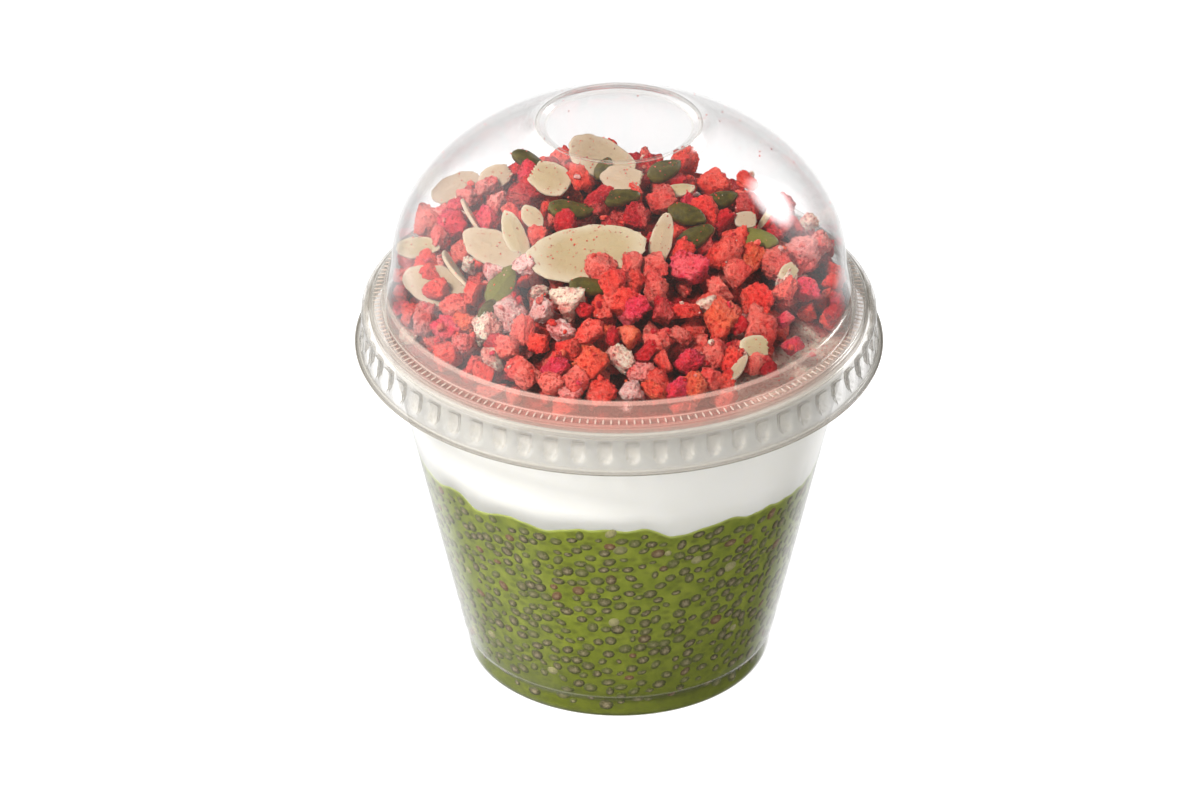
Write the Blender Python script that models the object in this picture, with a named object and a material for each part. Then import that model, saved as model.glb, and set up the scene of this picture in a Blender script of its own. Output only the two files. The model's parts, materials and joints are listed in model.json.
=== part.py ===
"""A clear cup of green chia pudding with yogurt and a fruit and nut topping, under a clear dome lid.

The origin is at the middle of the foot, on the surface that the cup stands on, with +Z up.
The front of the cup faces -Y. Sizes are in millimetres, and MM turns them into metres.
"""
import math
import random

import bmesh
import bpy
from mathutils import Euler, Matrix, Vector, noise

MM = 0.001
GAP = 0.3
SEGMENTS = 60
POLE_RADIUS = 0.0

# The cup: a thin-walled tapered tumbler with a stacking ledge, a foot ring and a rolled rim
CUP_WALL = 0.6
FOOT_INNER_RADIUS = 27.3
FOOT_OUTER_RADIUS = 29.8
FOOT_FILLET = ((0.4, 0.3), (0.5, 0.9))
FOOT_BEND = 0.3
BASE_RADIUS = 25.6
BASE_RISE = 1.8
BASE_SECTION_RADIUS = 30.4
LEDGE_Z = 5.3
LEDGE_DROP = 0.8
WALL_FOOT_RADIUS = 31.15
WALL_SLOPE = 0.2149
RIM_Z = 75.9
CURL_RADIUS = 1.35
CURL_STEPS = 3
CURL_START = 1.2
CURL_TURNS = (20, -35)

# The lid: a dome with a shallow round recess on top, over a fluted skirt that clips on the rim
LID_WALL = 0.55
RECESS_RADIUS = 13.9
RECESS_Z = 115.9
CREST_RADIUS = 16.05
CREST_Z = 116.8
CREST_HALF_WIDTH = 0.5
CREST_RISE = 1.2
DOME_RADIUS = 44.03
DOME_RISE = 31.74
DOME_POWER = 1.93
DOME_Z = 86.5
DOME_STEPS = 6
DOME_FOOT_RADIUS = 45.5
DOME_FOOT_Z = 81.2
SHELF_INNER_RADIUS = 45.95
SHELF_INNER_Z = 78.4
SHELF_RADIUS = 47.9
SHELF_Z = 78.1
SKIRT_TOP_RADIUS = 49.1
SKIRT_TOP_Z = 77.2
SKIRT_TOP_BEND = 0.5
SKIRT_RADIUS = 50.2
SKIRT_FLARE = 0.3
FLUTE_TOP_Z = 74.9
FLUTE_FOOT_Z = 70.8
LIP_RADIUS = 51.5
LIP_Z = 69.4
FLUTE_BAND = 0.4
FLUTE_MARGIN = 1.0
FLUTE_DEPTH = 1.1

# The layers: the line between pudding and yogurt at the wall, as azimuth from the front and height
LAYER_LINE = (
    (-120, 48.6), (-90, 47.4), (-63, 47.6), (-50, 49.8), (-44, 47.6), (-31, 49.4), (-22, 48.3),
    (-10, 50.0), (6, 50.0), (16, 47.4), (30, 48.6), (44, 47.4), (67, 45.9), (92, 46.8), (130, 48.3),
    (175, 47.2), (215, 48.9),
)
LAYER_MEAN_Z = 48.2
LAYER_RING_RADIUS = 26.0
LAYER_RIM = 1.0
PUDDING_FOOT_INSET = (0.3, 0.4, 0.6)
PUDDING_BEND = 0.7
YOGURT_TOP_Z = 74.5

# The topping: a heap from the yogurt to the dome's wall, with a rounded mound at the back. The mound is
# given by its place, its half width and depth, and its rise
HEAP_PEAK_Z = 95.0
HEAP_PEAK_Y = 10.0
HEAP_FRONT_DROP = 14.5
HEAP_BACK_DROP = 13.5
HEAP_SIDE_DROP = 12.0
HEAP_MOUND = (-6.0, 23.0, 18.0, 20.0, 5.5)
HEAP_FRONT_POWER = 1.6
HEAP_SIDE_POWER = 2.2
HEAP_RADIUS = 43.0
HEAP_RINGS = (0.98, 0.84, 0.68, 0.52, 0.35, 0.17)
HEAP_FOOT_INSET = 0.5
HEAP_FOOT_Z = 77.1
HEAP_SHOULDER_DROP = 1.5
HEAP_SHOULDER_INSET = 0.6
HEAP_BUMP = 2.2
HEAP_BUMP_PITCH = 0.31
HEAP_BUMP_SINK = 0.6
HEAP_SEED = 11
HEAP_SEGMENTS = 32

# The lumps of fruit on the heap: how many, how large, how uneven, and how deep they sit
CHUNK_COUNT = 58
CHUNK_SIZE = (4.6, 6.8)
CHUNK_STRETCH = (0.75, 1.2)
CHUNK_CORNERS = (0.7, 1.05)
CHUNK_TURN = 0.12
CHUNK_LIFT = (-0.25, 0.1)
CHUNK_REACH = 0.4
PIECE_CLEARANCE = 1.3 * GAP

# The flat pieces' thickness, lift over the heap, sides, narrower end and swollen middle
ALMOND_FORM = (1.3, 2.2, 12, 0.25, 0.0)
PUMPKIN_FORM = (2.4, 1.6, 8, 0.35, 0.3)
FLAT_RIM = 0.93

# Almond slices and pumpkin seeds: x, y, turn about the vertical, lean to front and side, length, width
ALMONDS = (
    (-5.8, -10.3, 12, 26, 0, 23.8, 13.4), (-2.9, 13.4, -24, 40, 8, 15.6, 9.6),
    (-13.8, 10.2, 150, 30, 0, 9.5, 8.3), (1.2, 8.6, -8, 24, 0, 10.0, 7.0),
    (8.1, -6.7, 80, 60, 4, 10.8, 4.6), (-20, -3.1, 118, 40, 10, 10.8, 4.8),
    (-24.4, -4.7, 152, 34, 0, 12.4, 8.4), (-30.6, -9.2, -70, -17, 72, 16.0, 8.0),
    (-32.1, 24, 30, 34, 0, 10.2, 6.3), (-35.4, -9.2, 166, 40, 4, 12.6, 9.0),
    (-24, 18, 24, 40, 0, 8.6, 6.0), (26.2, -28.8, 18, 36, 14, 7.0, 5.2),
)
PUMPKIN_SEEDS = (
    (26.6, -0.6, -14, 26, 0, 9.0, 5.2), (-9.3, 1.2, 6, 22, 10, 9.0, 5.2),
    (14.8, -4, 20, 34, -12, 8.0, 5.0), (-22.5, -15.2, 70, 38, 12, 9.6, 6.2),
    (8.8, 14.2, 40, 24, 10, 8.0, 4.8), (13.1, 1.6, -30, 24, -8, 8.2, 5.0), (0.4, 4, 6, 20, 0, 7.6, 4.4),
    (-5.3, -18.4, -10, 20, 0, 8.6, 4.4),
)


def material(name, color, roughness, alpha=1.0, metallic=0.0):
    """A Principled material with one colour, for one sub-part."""
    made = bpy.data.materials.new(name)
    made.use_nodes = True
    made.diffuse_color = (*color, alpha)
    shader = made.node_tree.nodes["Principled BSDF"]
    shader.inputs["Base Color"].default_value = (*color, 1.0)
    shader.inputs["Roughness"].default_value = roughness
    shader.inputs["Metallic"].default_value = metallic
    shader.inputs["Alpha"].default_value = alpha
    return made


def turned(profile, segments=SEGMENTS):
    """A closed bmesh spun round Z from a profile of (radius, height) that runs from pole to pole."""
    bm = bmesh.new()
    points = [bm.verts.new((radius, 0.0, height)) for radius, height in profile]
    edges = [bm.edges.new(pair) for pair in zip(points, points[1:])]
    bmesh.ops.spin(bm, geom=points + edges, axis=(0, 0, 1), cent=(0, 0, 0), angle=math.tau,
                   steps=segments, use_merge=True)
    bmesh.ops.remove_doubles(bm, verts=bm.verts, dist=0.001)
    bmesh.ops.recalc_face_normals(bm, faces=bm.faces)
    return bm


def finished(name, bm, surface, sharp_angle=35):
    """Turns a bmesh in millimetres into a named, smooth-shaded object in metres."""
    bmesh.ops.scale(bm, verts=bm.verts, vec=(MM, MM, MM))
    mesh = bpy.data.meshes.new(name)
    bm.to_mesh(mesh)
    bm.free()
    mesh.materials.append(surface)
    mesh.shade_smooth()
    mesh.set_sharp_from_angle(angle=math.radians(sharp_angle))
    made = bpy.data.objects.new(name, mesh)
    bpy.context.scene.collection.objects.link(made)
    return made


def arc(centre, radius, start, end, steps):
    """Points on an arc in the profile's plane, with angles in degrees from +radius towards +height."""
    angles = [math.radians(start + (end - start) * i / steps) for i in range(steps + 1)]
    return [(centre[0] + radius * math.cos(a), centre[1] + radius * math.sin(a)) for a in angles]


def wall_radius(z):
    """The cup's outer radius at a height above the stacking ledge."""
    return WALL_FOOT_RADIUS + WALL_SLOPE * (z - LEDGE_Z)


def dome_radius(z):
    """The dome's outer radius at a height between its foot and its top."""
    if z < DOME_Z:
        return DOME_RADIUS + (DOME_FOOT_RADIUS - DOME_RADIUS) * (DOME_Z - z) / (DOME_Z - DOME_FOOT_Z)
    rise = min((z - DOME_Z) / DOME_RISE, 1.0)
    return DOME_RADIUS * (1 - rise ** DOME_POWER) ** (1 / DOME_POWER)


def layer_line(azimuth):
    """Height of the line between pudding and yogurt at an azimuth in degrees from the front."""
    azimuth = (azimuth - LAYER_LINE[0][0]) % 360 + LAYER_LINE[0][0]
    stops = LAYER_LINE + ((LAYER_LINE[0][0] + 360, LAYER_LINE[0][1]),)
    for (a, low), (b, high) in zip(stops, stops[1:]):
        if a <= azimuth <= b:
            blend = (1 - math.cos(math.pi * (azimuth - a) / (b - a))) / 2
            return low + (high - low) * blend
    return LAYER_MEAN_Z


def layer_height(x, y, rim):
    """Height of the boundary between the layers: wavy at the wall, and flatter towards the middle."""
    share = math.hypot(x, y) / rim
    line = layer_line(math.degrees(math.atan2(x, -y)))
    return LAYER_MEAN_Z + (line - LAYER_MEAN_Z) * share ** 3


def heap_height(x, y):
    """Height of the heap of topping, without its bumps."""
    front = max(0.0, (HEAP_PEAK_Y - y) / (HEAP_PEAK_Y + HEAP_RADIUS)) ** HEAP_FRONT_POWER
    back = max(0.0, (y - HEAP_PEAK_Y) / (HEAP_RADIUS - HEAP_PEAK_Y)) ** HEAP_SIDE_POWER
    side = (abs(x) / HEAP_RADIUS) ** HEAP_SIDE_POWER
    mound_x, mound_y, half_width, half_depth, rise = HEAP_MOUND
    mound = math.exp(-((x - mound_x) / half_width) ** 2 - ((y - mound_y) / half_depth) ** 2)
    slopes = HEAP_FRONT_DROP * front + HEAP_BACK_DROP * back + HEAP_SIDE_DROP * side
    return HEAP_PEAK_Z - slopes + rise * mound


def heap_limit(angle):
    """Radius at which the heap meets the dome's inner wall, less the gap."""
    radius = HEAP_RADIUS
    for _ in range(8):
        height = heap_height(radius * math.cos(angle), radius * math.sin(angle))
        radius = dome_radius(height) - LID_WALL - GAP
    return radius


def make_cup():
    """The cup, from the middle of its underside, up its outside, round the curl and down its inside."""
    rim_radius = wall_radius(RIM_Z)
    curl = (rim_radius + CURL_RADIUS - CUP_WALL, RIM_Z)
    profile = [
        (POLE_RADIUS, BASE_RISE),
        (BASE_RADIUS, BASE_RISE),
        (FOOT_INNER_RADIUS, 0.0),
        (FOOT_OUTER_RADIUS, 0.0),
    ]
    profile += [(FOOT_OUTER_RADIUS + out, up) for out, up in FOOT_FILLET]
    profile += [
        (BASE_SECTION_RADIUS, LEDGE_Z - LEDGE_DROP),
        (WALL_FOOT_RADIUS, LEDGE_Z),
        (wall_radius(RIM_Z - CURL_START), RIM_Z - CURL_START),
    ]
    profile += arc(curl, CURL_RADIUS - CUP_WALL, 180, CURL_TURNS[0], CURL_STEPS)
    profile += arc(curl, CURL_RADIUS, CURL_TURNS[1], 180, CURL_STEPS + 2)
    profile += [
        (wall_radius(LEDGE_Z) - CUP_WALL, LEDGE_Z + FOOT_BEND),
        (BASE_SECTION_RADIUS - CUP_WALL, LEDGE_Z - CUP_WALL),
        (FOOT_OUTER_RADIUS + FOOT_BEND, 2 * CUP_WALL),
        (FOOT_OUTER_RADIUS - FOOT_BEND, CUP_WALL),
        (FOOT_INNER_RADIUS + FOOT_BEND, CUP_WALL),
        (BASE_RADIUS, BASE_RISE + CUP_WALL),
        (POLE_RADIUS, BASE_RISE + CUP_WALL),
    ]
    return finished("cup", turned(profile), material("cup_plastic", (0.86, 0.88, 0.87), 0.08, 0.3))


def lid_outline():
    """The lid's outer line: from the lip up the skirt, over the shelf and up the dome to its recess."""
    outline = [
        (LIP_RADIUS, LIP_Z),
        (SKIRT_RADIUS + SKIRT_FLARE, FLUTE_FOOT_Z),
        (SKIRT_RADIUS, FLUTE_TOP_Z),
        (SKIRT_TOP_RADIUS + SKIRT_TOP_BEND, SKIRT_TOP_Z - SKIRT_TOP_BEND),
        (SKIRT_TOP_RADIUS, SKIRT_TOP_Z),
        (SHELF_RADIUS, SHELF_Z),
        (SHELF_INNER_RADIUS, SHELF_INNER_Z),
        (DOME_FOOT_RADIUS, DOME_FOOT_Z),
    ]
    top = math.asin(((CREST_Z - CREST_RISE - DOME_Z) / DOME_RISE) ** (DOME_POWER / 2))
    for step in range(DOME_STEPS + 1):
        angle = top * step / DOME_STEPS
        height = DOME_Z + DOME_RISE * math.sin(angle) ** (2 / DOME_POWER)
        outline.append((dome_radius(height), height))
    outline += [
        (CREST_RADIUS + CREST_HALF_WIDTH, CREST_Z - 0.1),
        (CREST_RADIUS - CREST_HALF_WIDTH, CREST_Z),
        (RECESS_RADIUS, RECESS_Z),
        (POLE_RADIUS, RECESS_Z),
    ]
    return outline


def inner_line(outline, wall):
    """The same line moved one wall's thickness towards the inside, with its corners mitred."""
    inner = []
    for i, here in enumerate(outline):
        ends = [Vector(point) for point in (outline[max(i - 1, 0)], here, *outline[i + 1:i + 2])]
        runs = [(end - start).normalized() for start, end in zip(ends, ends[1:]) if end != start]
        sides = [Vector((-run.y, run.x)) for run in runs]
        mitre = (sides[0] + sides[-1]) / (1 + sides[0].dot(sides[-1]))
        inner.append((here[0] + mitre.x * wall, here[1] + mitre.y * wall))
    inner[-1] = (POLE_RADIUS, outline[-1][1] - wall)
    return inner


def press_flutes(bm):
    """Presses one short upright flute into each facet of the skirt, through both its faces."""
    low, high = FLUTE_FOOT_Z - FLUTE_BAND, FLUTE_TOP_Z + FLUTE_BAND
    band = [face for face in bm.faces if all(low < vert.co.z < high for vert in face.verts)]
    bmesh.ops.inset_individual(bm, faces=band, thickness=FLUTE_MARGIN)
    for face in band:
        centre = face.calc_center_median()
        inward = Vector((-centre.x, -centre.y, 0)).normalized() * FLUTE_DEPTH
        bmesh.ops.translate(bm, verts=list(face.verts), vec=inward)


def make_lid():
    """The dome lid, a thin shell that is open below."""
    outline = lid_outline()
    profile = list(reversed(inner_line(outline, LID_WALL))) + outline
    bm = turned(profile)
    press_flutes(bm)
    return finished("dome_lid", bm, material("lid_plastic", (0.9, 0.92, 0.92), 0.06, 0.25))


def make_pudding():
    """The set green pudding: it fills the cup's base and ends in a wavy top under the yogurt."""
    inset = CUP_WALL + GAP
    floor = BASE_RISE + CUP_WALL + GAP
    foot = CUP_WALL + GAP
    profile = [
        (POLE_RADIUS, floor),
        (BASE_RADIUS - PUDDING_FOOT_INSET[0], floor),
        (FOOT_INNER_RADIUS + PUDDING_FOOT_INSET[1], foot),
        (FOOT_OUTER_RADIUS - PUDDING_FOOT_INSET[2], foot),
        (FOOT_OUTER_RADIUS, foot + PUDDING_BEND),
        (BASE_SECTION_RADIUS - inset, LEDGE_Z - FOOT_BEND),
        (wall_radius(LEDGE_Z) - inset, LEDGE_Z + LEDGE_DROP),
        (wall_radius(LAYER_MEAN_Z) - inset, LAYER_MEAN_Z),
        (LAYER_RING_RADIUS, LAYER_MEAN_Z),
        (POLE_RADIUS, LAYER_MEAN_Z),
    ]
    bm = turned(profile)
    for vert in bm.verts:
        if vert.co.z > LAYER_MEAN_Z - 0.01:
            shape_layer_point(vert, wall_radius(LAYER_MEAN_Z) - inset, 0.0)
    bmesh.ops.triangulate(bm, faces=bm.faces, quad_method="SHORT_EDGE")
    return finished("chia_pudding", bm, material("matcha_pudding", (0.2, 0.31, 0.035), 0.4))


def shape_layer_point(vert, rim, lift):
    """Moves one point of a flat layer face to the wavy boundary, and keeps the rim's gap to the wall."""
    radius = math.hypot(vert.co.x, vert.co.y)
    height = layer_height(vert.co.x, vert.co.y, rim) + lift
    if radius > rim - LAYER_RIM:
        grown = wall_radius(height) - CUP_WALL - GAP
        vert.co.x *= grown / radius
        vert.co.y *= grown / radius
    vert.co.z = height


def make_yogurt():
    """The white yogurt, from the pudding's wavy top to just below the cup's rim."""
    inset = CUP_WALL + GAP
    rim = wall_radius(LAYER_MEAN_Z) - inset
    profile = [
        (POLE_RADIUS, LAYER_MEAN_Z),
        (LAYER_RING_RADIUS, LAYER_MEAN_Z),
        (rim, LAYER_MEAN_Z),
        (wall_radius(YOGURT_TOP_Z) - inset, YOGURT_TOP_Z),
        (POLE_RADIUS, YOGURT_TOP_Z),
    ]
    bm = turned(profile)
    for vert in bm.verts:
        if vert.co.z < LAYER_MEAN_Z + 0.01:
            shape_layer_point(vert, rim, GAP)
    bmesh.ops.triangulate(bm, faces=bm.faces, quad_method="SHORT_EDGE")
    return finished("yogurt", bm, material("yogurt_white", (0.86, 0.85, 0.8), 0.45))


def make_heap_core():
    """The body of the heap, bumpy on top, on which the pieces that show are fused."""
    base_z = YOGURT_TOP_Z + GAP
    base_radius = wall_radius(base_z) - CUP_WALL - GAP
    profile = [
        (POLE_RADIUS, base_z),
        (base_radius - HEAP_FOOT_INSET, base_z),
        (base_radius - HEAP_FOOT_INSET, HEAP_FOOT_Z),
        (DOME_FOOT_RADIUS - LID_WALL - HEAP_SHOULDER_INSET, DOME_FOOT_Z - HEAP_SHOULDER_DROP),
    ]
    profile += [(share * HEAP_RADIUS, HEAP_PEAK_Z) for share in HEAP_RINGS] + [(POLE_RADIUS, HEAP_PEAK_Z)]
    bm = turned(profile, HEAP_SEGMENTS)
    for vert in bm.verts:
        if vert.co.z > HEAP_PEAK_Z - 0.01:
            angle = math.atan2(vert.co.y, vert.co.x)
            radius = math.hypot(vert.co.x, vert.co.y) / HEAP_RADIUS * heap_limit(angle)
            place = Vector((radius * math.cos(angle), radius * math.sin(angle), 0))
            bump = HEAP_BUMP * (noise.noise(place * HEAP_BUMP_PITCH) - HEAP_BUMP_SINK)
            vert.co = (place.x, place.y, heap_height(place.x, place.y) + bump)
    bmesh.ops.triangulate(bm, faces=bm.faces)
    return finished("topping", bm, material("berry_topping", (0.55, 0.07, 0.07), 0.8), 180)


def keep_inside(bm):
    """Moves points that would cross the dome or the yogurt back to the gap's edge."""
    for vert in bm.verts:
        vert.co.z = max(vert.co.z, YOGURT_TOP_Z + GAP)
        limit = dome_radius(max(vert.co.z, DOME_FOOT_Z)) - LID_WALL - PIECE_CLEARANCE
        radius = math.hypot(vert.co.x, vert.co.y)
        if radius > limit:
            vert.co.x *= limit / radius
            vert.co.y *= limit / radius


def piece(bm, place, turn, parts):
    """Turns a loose piece, sets it at its place and stores it in the collection to be fused."""
    bmesh.ops.transform(bm, matrix=Matrix.Translation(place) @ turn.to_matrix().to_4x4(), verts=bm.verts)
    keep_inside(bm)
    surface = material("piece", (0.6, 0.1, 0.08), 0.8)
    made = finished(f"piece_{len(parts.objects)}", bm, surface)
    bpy.context.scene.collection.objects.unlink(made)
    parts.objects.link(made)


def chunk(size, draw):
    """A broken lump of dried fruit, a block with its corners pushed in and out."""
    bm = bmesh.new()
    bmesh.ops.create_cube(bm, size=size)
    stretch = [draw.uniform(*CHUNK_STRETCH) for _ in range(3)]
    for vert in bm.verts:
        vert.co = Vector([a * b for a, b in zip(vert.co, stretch)]) * draw.uniform(*CHUNK_CORNERS)
    bmesh.ops.triangulate(bm, faces=bm.faces)
    return bm


def flat_oval(length, width, thick, sides, point, crown):
    """A thin oval with one end narrower, as a slice of almond or a pumpkin seed is."""
    bm = bmesh.new()
    rings = []
    for height in (-thick / 2, thick / 2):
        ring = []
        for i in range(sides):
            angle = math.tau * i / sides
            taper = 1 - point * (1 + math.cos(angle)) / 2
            along = math.cos(angle) * length / 2 * FLAT_RIM
            ring.append(bm.verts.new((along, math.sin(angle) * width / 2 * taper * FLAT_RIM, height)))
        rings.append(ring)
    peaks = [bm.verts.new((0, 0, side * thick * (0.5 + crown))) for side in (-1, 1)]
    for i in range(sides):
        after = (i + 1) % sides
        bm.faces.new((rings[0][i], rings[0][after], rings[1][after], rings[1][i]))
        bm.faces.new((peaks[0], rings[0][after], rings[0][i]))
        bm.faces.new((peaks[1], rings[1][i], rings[1][after]))
    bmesh.ops.recalc_face_normals(bm, faces=bm.faces)
    return bm


def add_chunks(parts, draw):
    """Lumps of fruit all over the heap, spread by the golden angle and nudged."""
    golden = math.pi * (3 - math.sqrt(5))
    for i in range(CHUNK_COUNT):
        share = math.sqrt((i + 0.5) / CHUNK_COUNT)
        angle = golden * i + draw.uniform(-CHUNK_TURN, CHUNK_TURN)
        size = draw.uniform(*CHUNK_SIZE)
        reach = share * (heap_limit(angle) - CHUNK_REACH * size)
        x, y = reach * math.cos(angle), reach * math.sin(angle)
        turn = Euler([draw.uniform(0, math.tau) for _ in range(3)])
        place = Vector((x, y, heap_height(x, y) + draw.uniform(*CHUNK_LIFT) * size))
        piece(chunk(size, draw), place, turn, parts)


def add_flat_pieces(parts, places, form):
    """Almond slices or pumpkin seeds, each leaning on the heap where the list puts it."""
    thick, lift, sides, point, crown = form
    for x, y, turn, lean_front, lean_side, length, width in places:
        place = Vector((x, y, heap_height(x, y) + lift))
        tilt = Euler((math.radians(lean_front), math.radians(lean_side), 0))
        rotation = (tilt.to_matrix() @ Matrix.Rotation(math.radians(turn), 3, "Z")).to_euler()
        piece(flat_oval(length, width, thick, sides, point, crown), place, rotation, parts)


def keep_largest_body(mesh):
    """Deletes loose scraps and sealed pockets, which are the smaller connected shells."""
    bm = bmesh.new()
    bm.from_mesh(mesh)
    left = set(bm.verts)
    shells = []
    while left:
        shell, edge = set(), [left.pop()]
        while edge:
            vert = edge.pop()
            shell.add(vert)
            linked = {e.other_vert(vert) for e in vert.link_edges} - shell
            edge.extend(linked & left)
            left -= linked
        shells.append(shell)
    largest = max(shells, key=len)
    scraps = [vert for shell in shells if shell is not largest for vert in shell]
    bmesh.ops.delete(bm, geom=scraps, context="VERTS")
    bm.to_mesh(mesh)
    bm.free()


def make_topping():
    """The heap of topping: its core with fruit lumps, almond slices and pumpkin seeds fused on."""
    draw = random.Random(HEAP_SEED)
    core = make_heap_core()
    parts = bpy.data.collections.new("topping_pieces")
    bpy.context.scene.collection.children.link(parts)
    add_chunks(parts, draw)
    add_flat_pieces(parts, ALMONDS, ALMOND_FORM)
    add_flat_pieces(parts, PUMPKIN_SEEDS, PUMPKIN_FORM)
    fuse = core.modifiers.new("fuse", "BOOLEAN")
    fuse.operation = "UNION"
    fuse.operand_type = "COLLECTION"
    fuse.collection = parts
    fuse.solver = "MANIFOLD"
    depsgraph = bpy.context.evaluated_depsgraph_get()
    fused = bpy.data.meshes.new_from_object(core.evaluated_get(depsgraph))
    core.modifiers.remove(fuse)
    for loose in list(parts.objects):
        bpy.data.objects.remove(loose)
    bpy.data.collections.remove(parts)
    keep_largest_body(fused)
    fused.materials.clear()
    fused.materials.append(core.data.materials[0])
    core.data = fused
    return core


for old in list(bpy.data.objects):
    bpy.data.objects.remove(old)

make_cup()
make_lid()
make_pudding()
make_yogurt()
make_topping()
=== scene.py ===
import json
import math
import random

import bmesh
import bpy
import numpy as np
from mathutils import Euler, Matrix, Vector, noise
from mathutils.bvhtree import BVHTree

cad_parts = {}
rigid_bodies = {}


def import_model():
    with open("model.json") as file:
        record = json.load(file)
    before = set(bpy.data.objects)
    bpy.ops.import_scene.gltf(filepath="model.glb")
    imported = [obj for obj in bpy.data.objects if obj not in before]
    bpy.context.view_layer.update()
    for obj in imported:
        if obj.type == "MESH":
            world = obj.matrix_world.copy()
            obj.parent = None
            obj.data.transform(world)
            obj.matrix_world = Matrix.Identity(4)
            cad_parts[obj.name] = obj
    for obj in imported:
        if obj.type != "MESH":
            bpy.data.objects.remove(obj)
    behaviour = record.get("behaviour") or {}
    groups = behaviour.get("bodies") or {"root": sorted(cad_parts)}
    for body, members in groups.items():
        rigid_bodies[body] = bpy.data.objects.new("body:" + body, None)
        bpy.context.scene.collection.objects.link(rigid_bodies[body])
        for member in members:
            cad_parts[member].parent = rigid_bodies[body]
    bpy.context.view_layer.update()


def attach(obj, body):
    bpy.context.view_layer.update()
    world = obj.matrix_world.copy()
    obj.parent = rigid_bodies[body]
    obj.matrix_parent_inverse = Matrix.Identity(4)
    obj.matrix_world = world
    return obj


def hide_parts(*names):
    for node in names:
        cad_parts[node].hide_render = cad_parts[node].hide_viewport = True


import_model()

# The studio: a white, softly lit table seen from 31 degrees above through a long lens, as for a catalogue
# picture. The key light stands at the left front, above the cup. The clear plastic mirrors only the room.
MM = 0.001
PHOTO_WIDTH = 1200
FOCAL_PIXELS = 6116
AXIS_PIXELS = 19
SENSOR_WIDTH = 36
CAMERA_DISTANCE = 1.2
CAMERA_ELEVATION = math.radians(31.25)
CAMERA_REACH = 20
AIM = Vector((0, 0, 0.05467))
CLEAR_LAYERS = 48
# name, direction, strength and softness in degrees of each far lamp
LAMPS = (("key_lamp", (-0.44, -0.48, 0.76), 6.5, 12), ("fill_lamp", (0.45, -0.7, 0.45), 1.3, 40))
TABLE_SIZE = 12
TABLE_GAP = 0.0002
TABLE_GREYS = (0.195, 0.205)
TABLE_CLOUD = 0.3
TABLE_GLOW = 5.4
ROOM_LIGHT = 0.06
# each panel of light: its direction, its strength, and the angles in degrees to its soft edge's two sides
LEFT_PANEL = ((-0.96, 0.1, 0.18), 1.55, 40, 58)
LEFT_PANEL_FOOT = (-0.42, -0.3)
PANELS = (
    ((0, 0.1, 1), 0.15, 10, 60), ((0, 0.75, 0.65), 0.12, 20, 50), ((0, 0.85, -0.52), 1, 18, 48),
    ((0.93, 0.35, 0.02), 0.75, 12, 36), ((-0.62, 0.2, -0.75), 0.45, 22, 40),
    ((0.71, 0.55, 0.45), 13.0, 2, 12), ((0.79, 0.55, 0.27), 1.5, 5, 18),
)

view_back = Vector((0, -math.cos(CAMERA_ELEVATION), math.sin(CAMERA_ELEVATION)))
camera = bpy.data.objects.new("camera", bpy.data.cameras.new("camera"))
camera.data.sensor_width = SENSOR_WIDTH
camera.data.lens = FOCAL_PIXELS * SENSOR_WIDTH / PHOTO_WIDTH
camera.data.shift_x = -AXIS_PIXELS / PHOTO_WIDTH
camera.data.clip_end = CAMERA_REACH
camera.location = AIM + CAMERA_DISTANCE * view_back
camera.rotation_euler = (math.pi / 2 - CAMERA_ELEVATION, 0, 0)
bpy.context.scene.collection.objects.link(camera)
bpy.context.scene.camera = camera
bpy.context.scene.view_settings.view_transform = "Standard"
bpy.context.scene.cycles.transparent_max_bounces = CLEAR_LAYERS

for name, toward, strength, softness in LAMPS:
    lamp = bpy.data.lights.new(name, "SUN")
    lamp.energy = strength
    lamp.angle = math.radians(softness)
    lamp_object = bpy.data.objects.new(name, lamp)
    lamp_object.rotation_euler = Vector(toward).to_track_quat("Z", "Y").to_euler()
    lamp_object.visible_glossy = False
    bpy.context.scene.collection.objects.link(lamp_object)


class Socket:
    """One output of a node, with Python's operators adding Math nodes."""

    def __init__(self, tree, node, socket):
        self.tree, self.node, self.socket = tree, node, socket

    def maths(self, operation, *values):
        """A Math node on the given values, or on this output alone."""
        values = dict(enumerate(values or (self,)))
        return self.tree.add("ShaderNodeMath", {"operation": operation}, values)

    def __add__(self, other):
        return self.maths("ADD", self, other)

    def __sub__(self, other):
        return self.maths("SUBTRACT", self, other)

    def __rsub__(self, other):
        return self.maths("SUBTRACT", other, self)

    def __mul__(self, other):
        return self.maths("MULTIPLY", self, other)

    def __pow__(self, other):
        return self.maths("POWER", self, other)

    __radd__ = __add__
    __rmul__ = __mul__

    def out(self, name):
        """Another output of the same node."""
        return Socket(self.tree, self.node, picked(self.node.outputs, name))

    def spread(self, low, high):
        """0 up to low, 1 from high, and a straight line between."""
        return self.tree.add("ShaderNodeMapRange", {}, {"Value": self, "From Min": low, "From Max": high})


def picked(sockets, key):
    """A node's socket by number, or the one in use with a name."""
    if isinstance(key, int):
        return sockets[key]
    return next(socket for socket in sockets if socket.name == key and socket.enabled)


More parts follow.
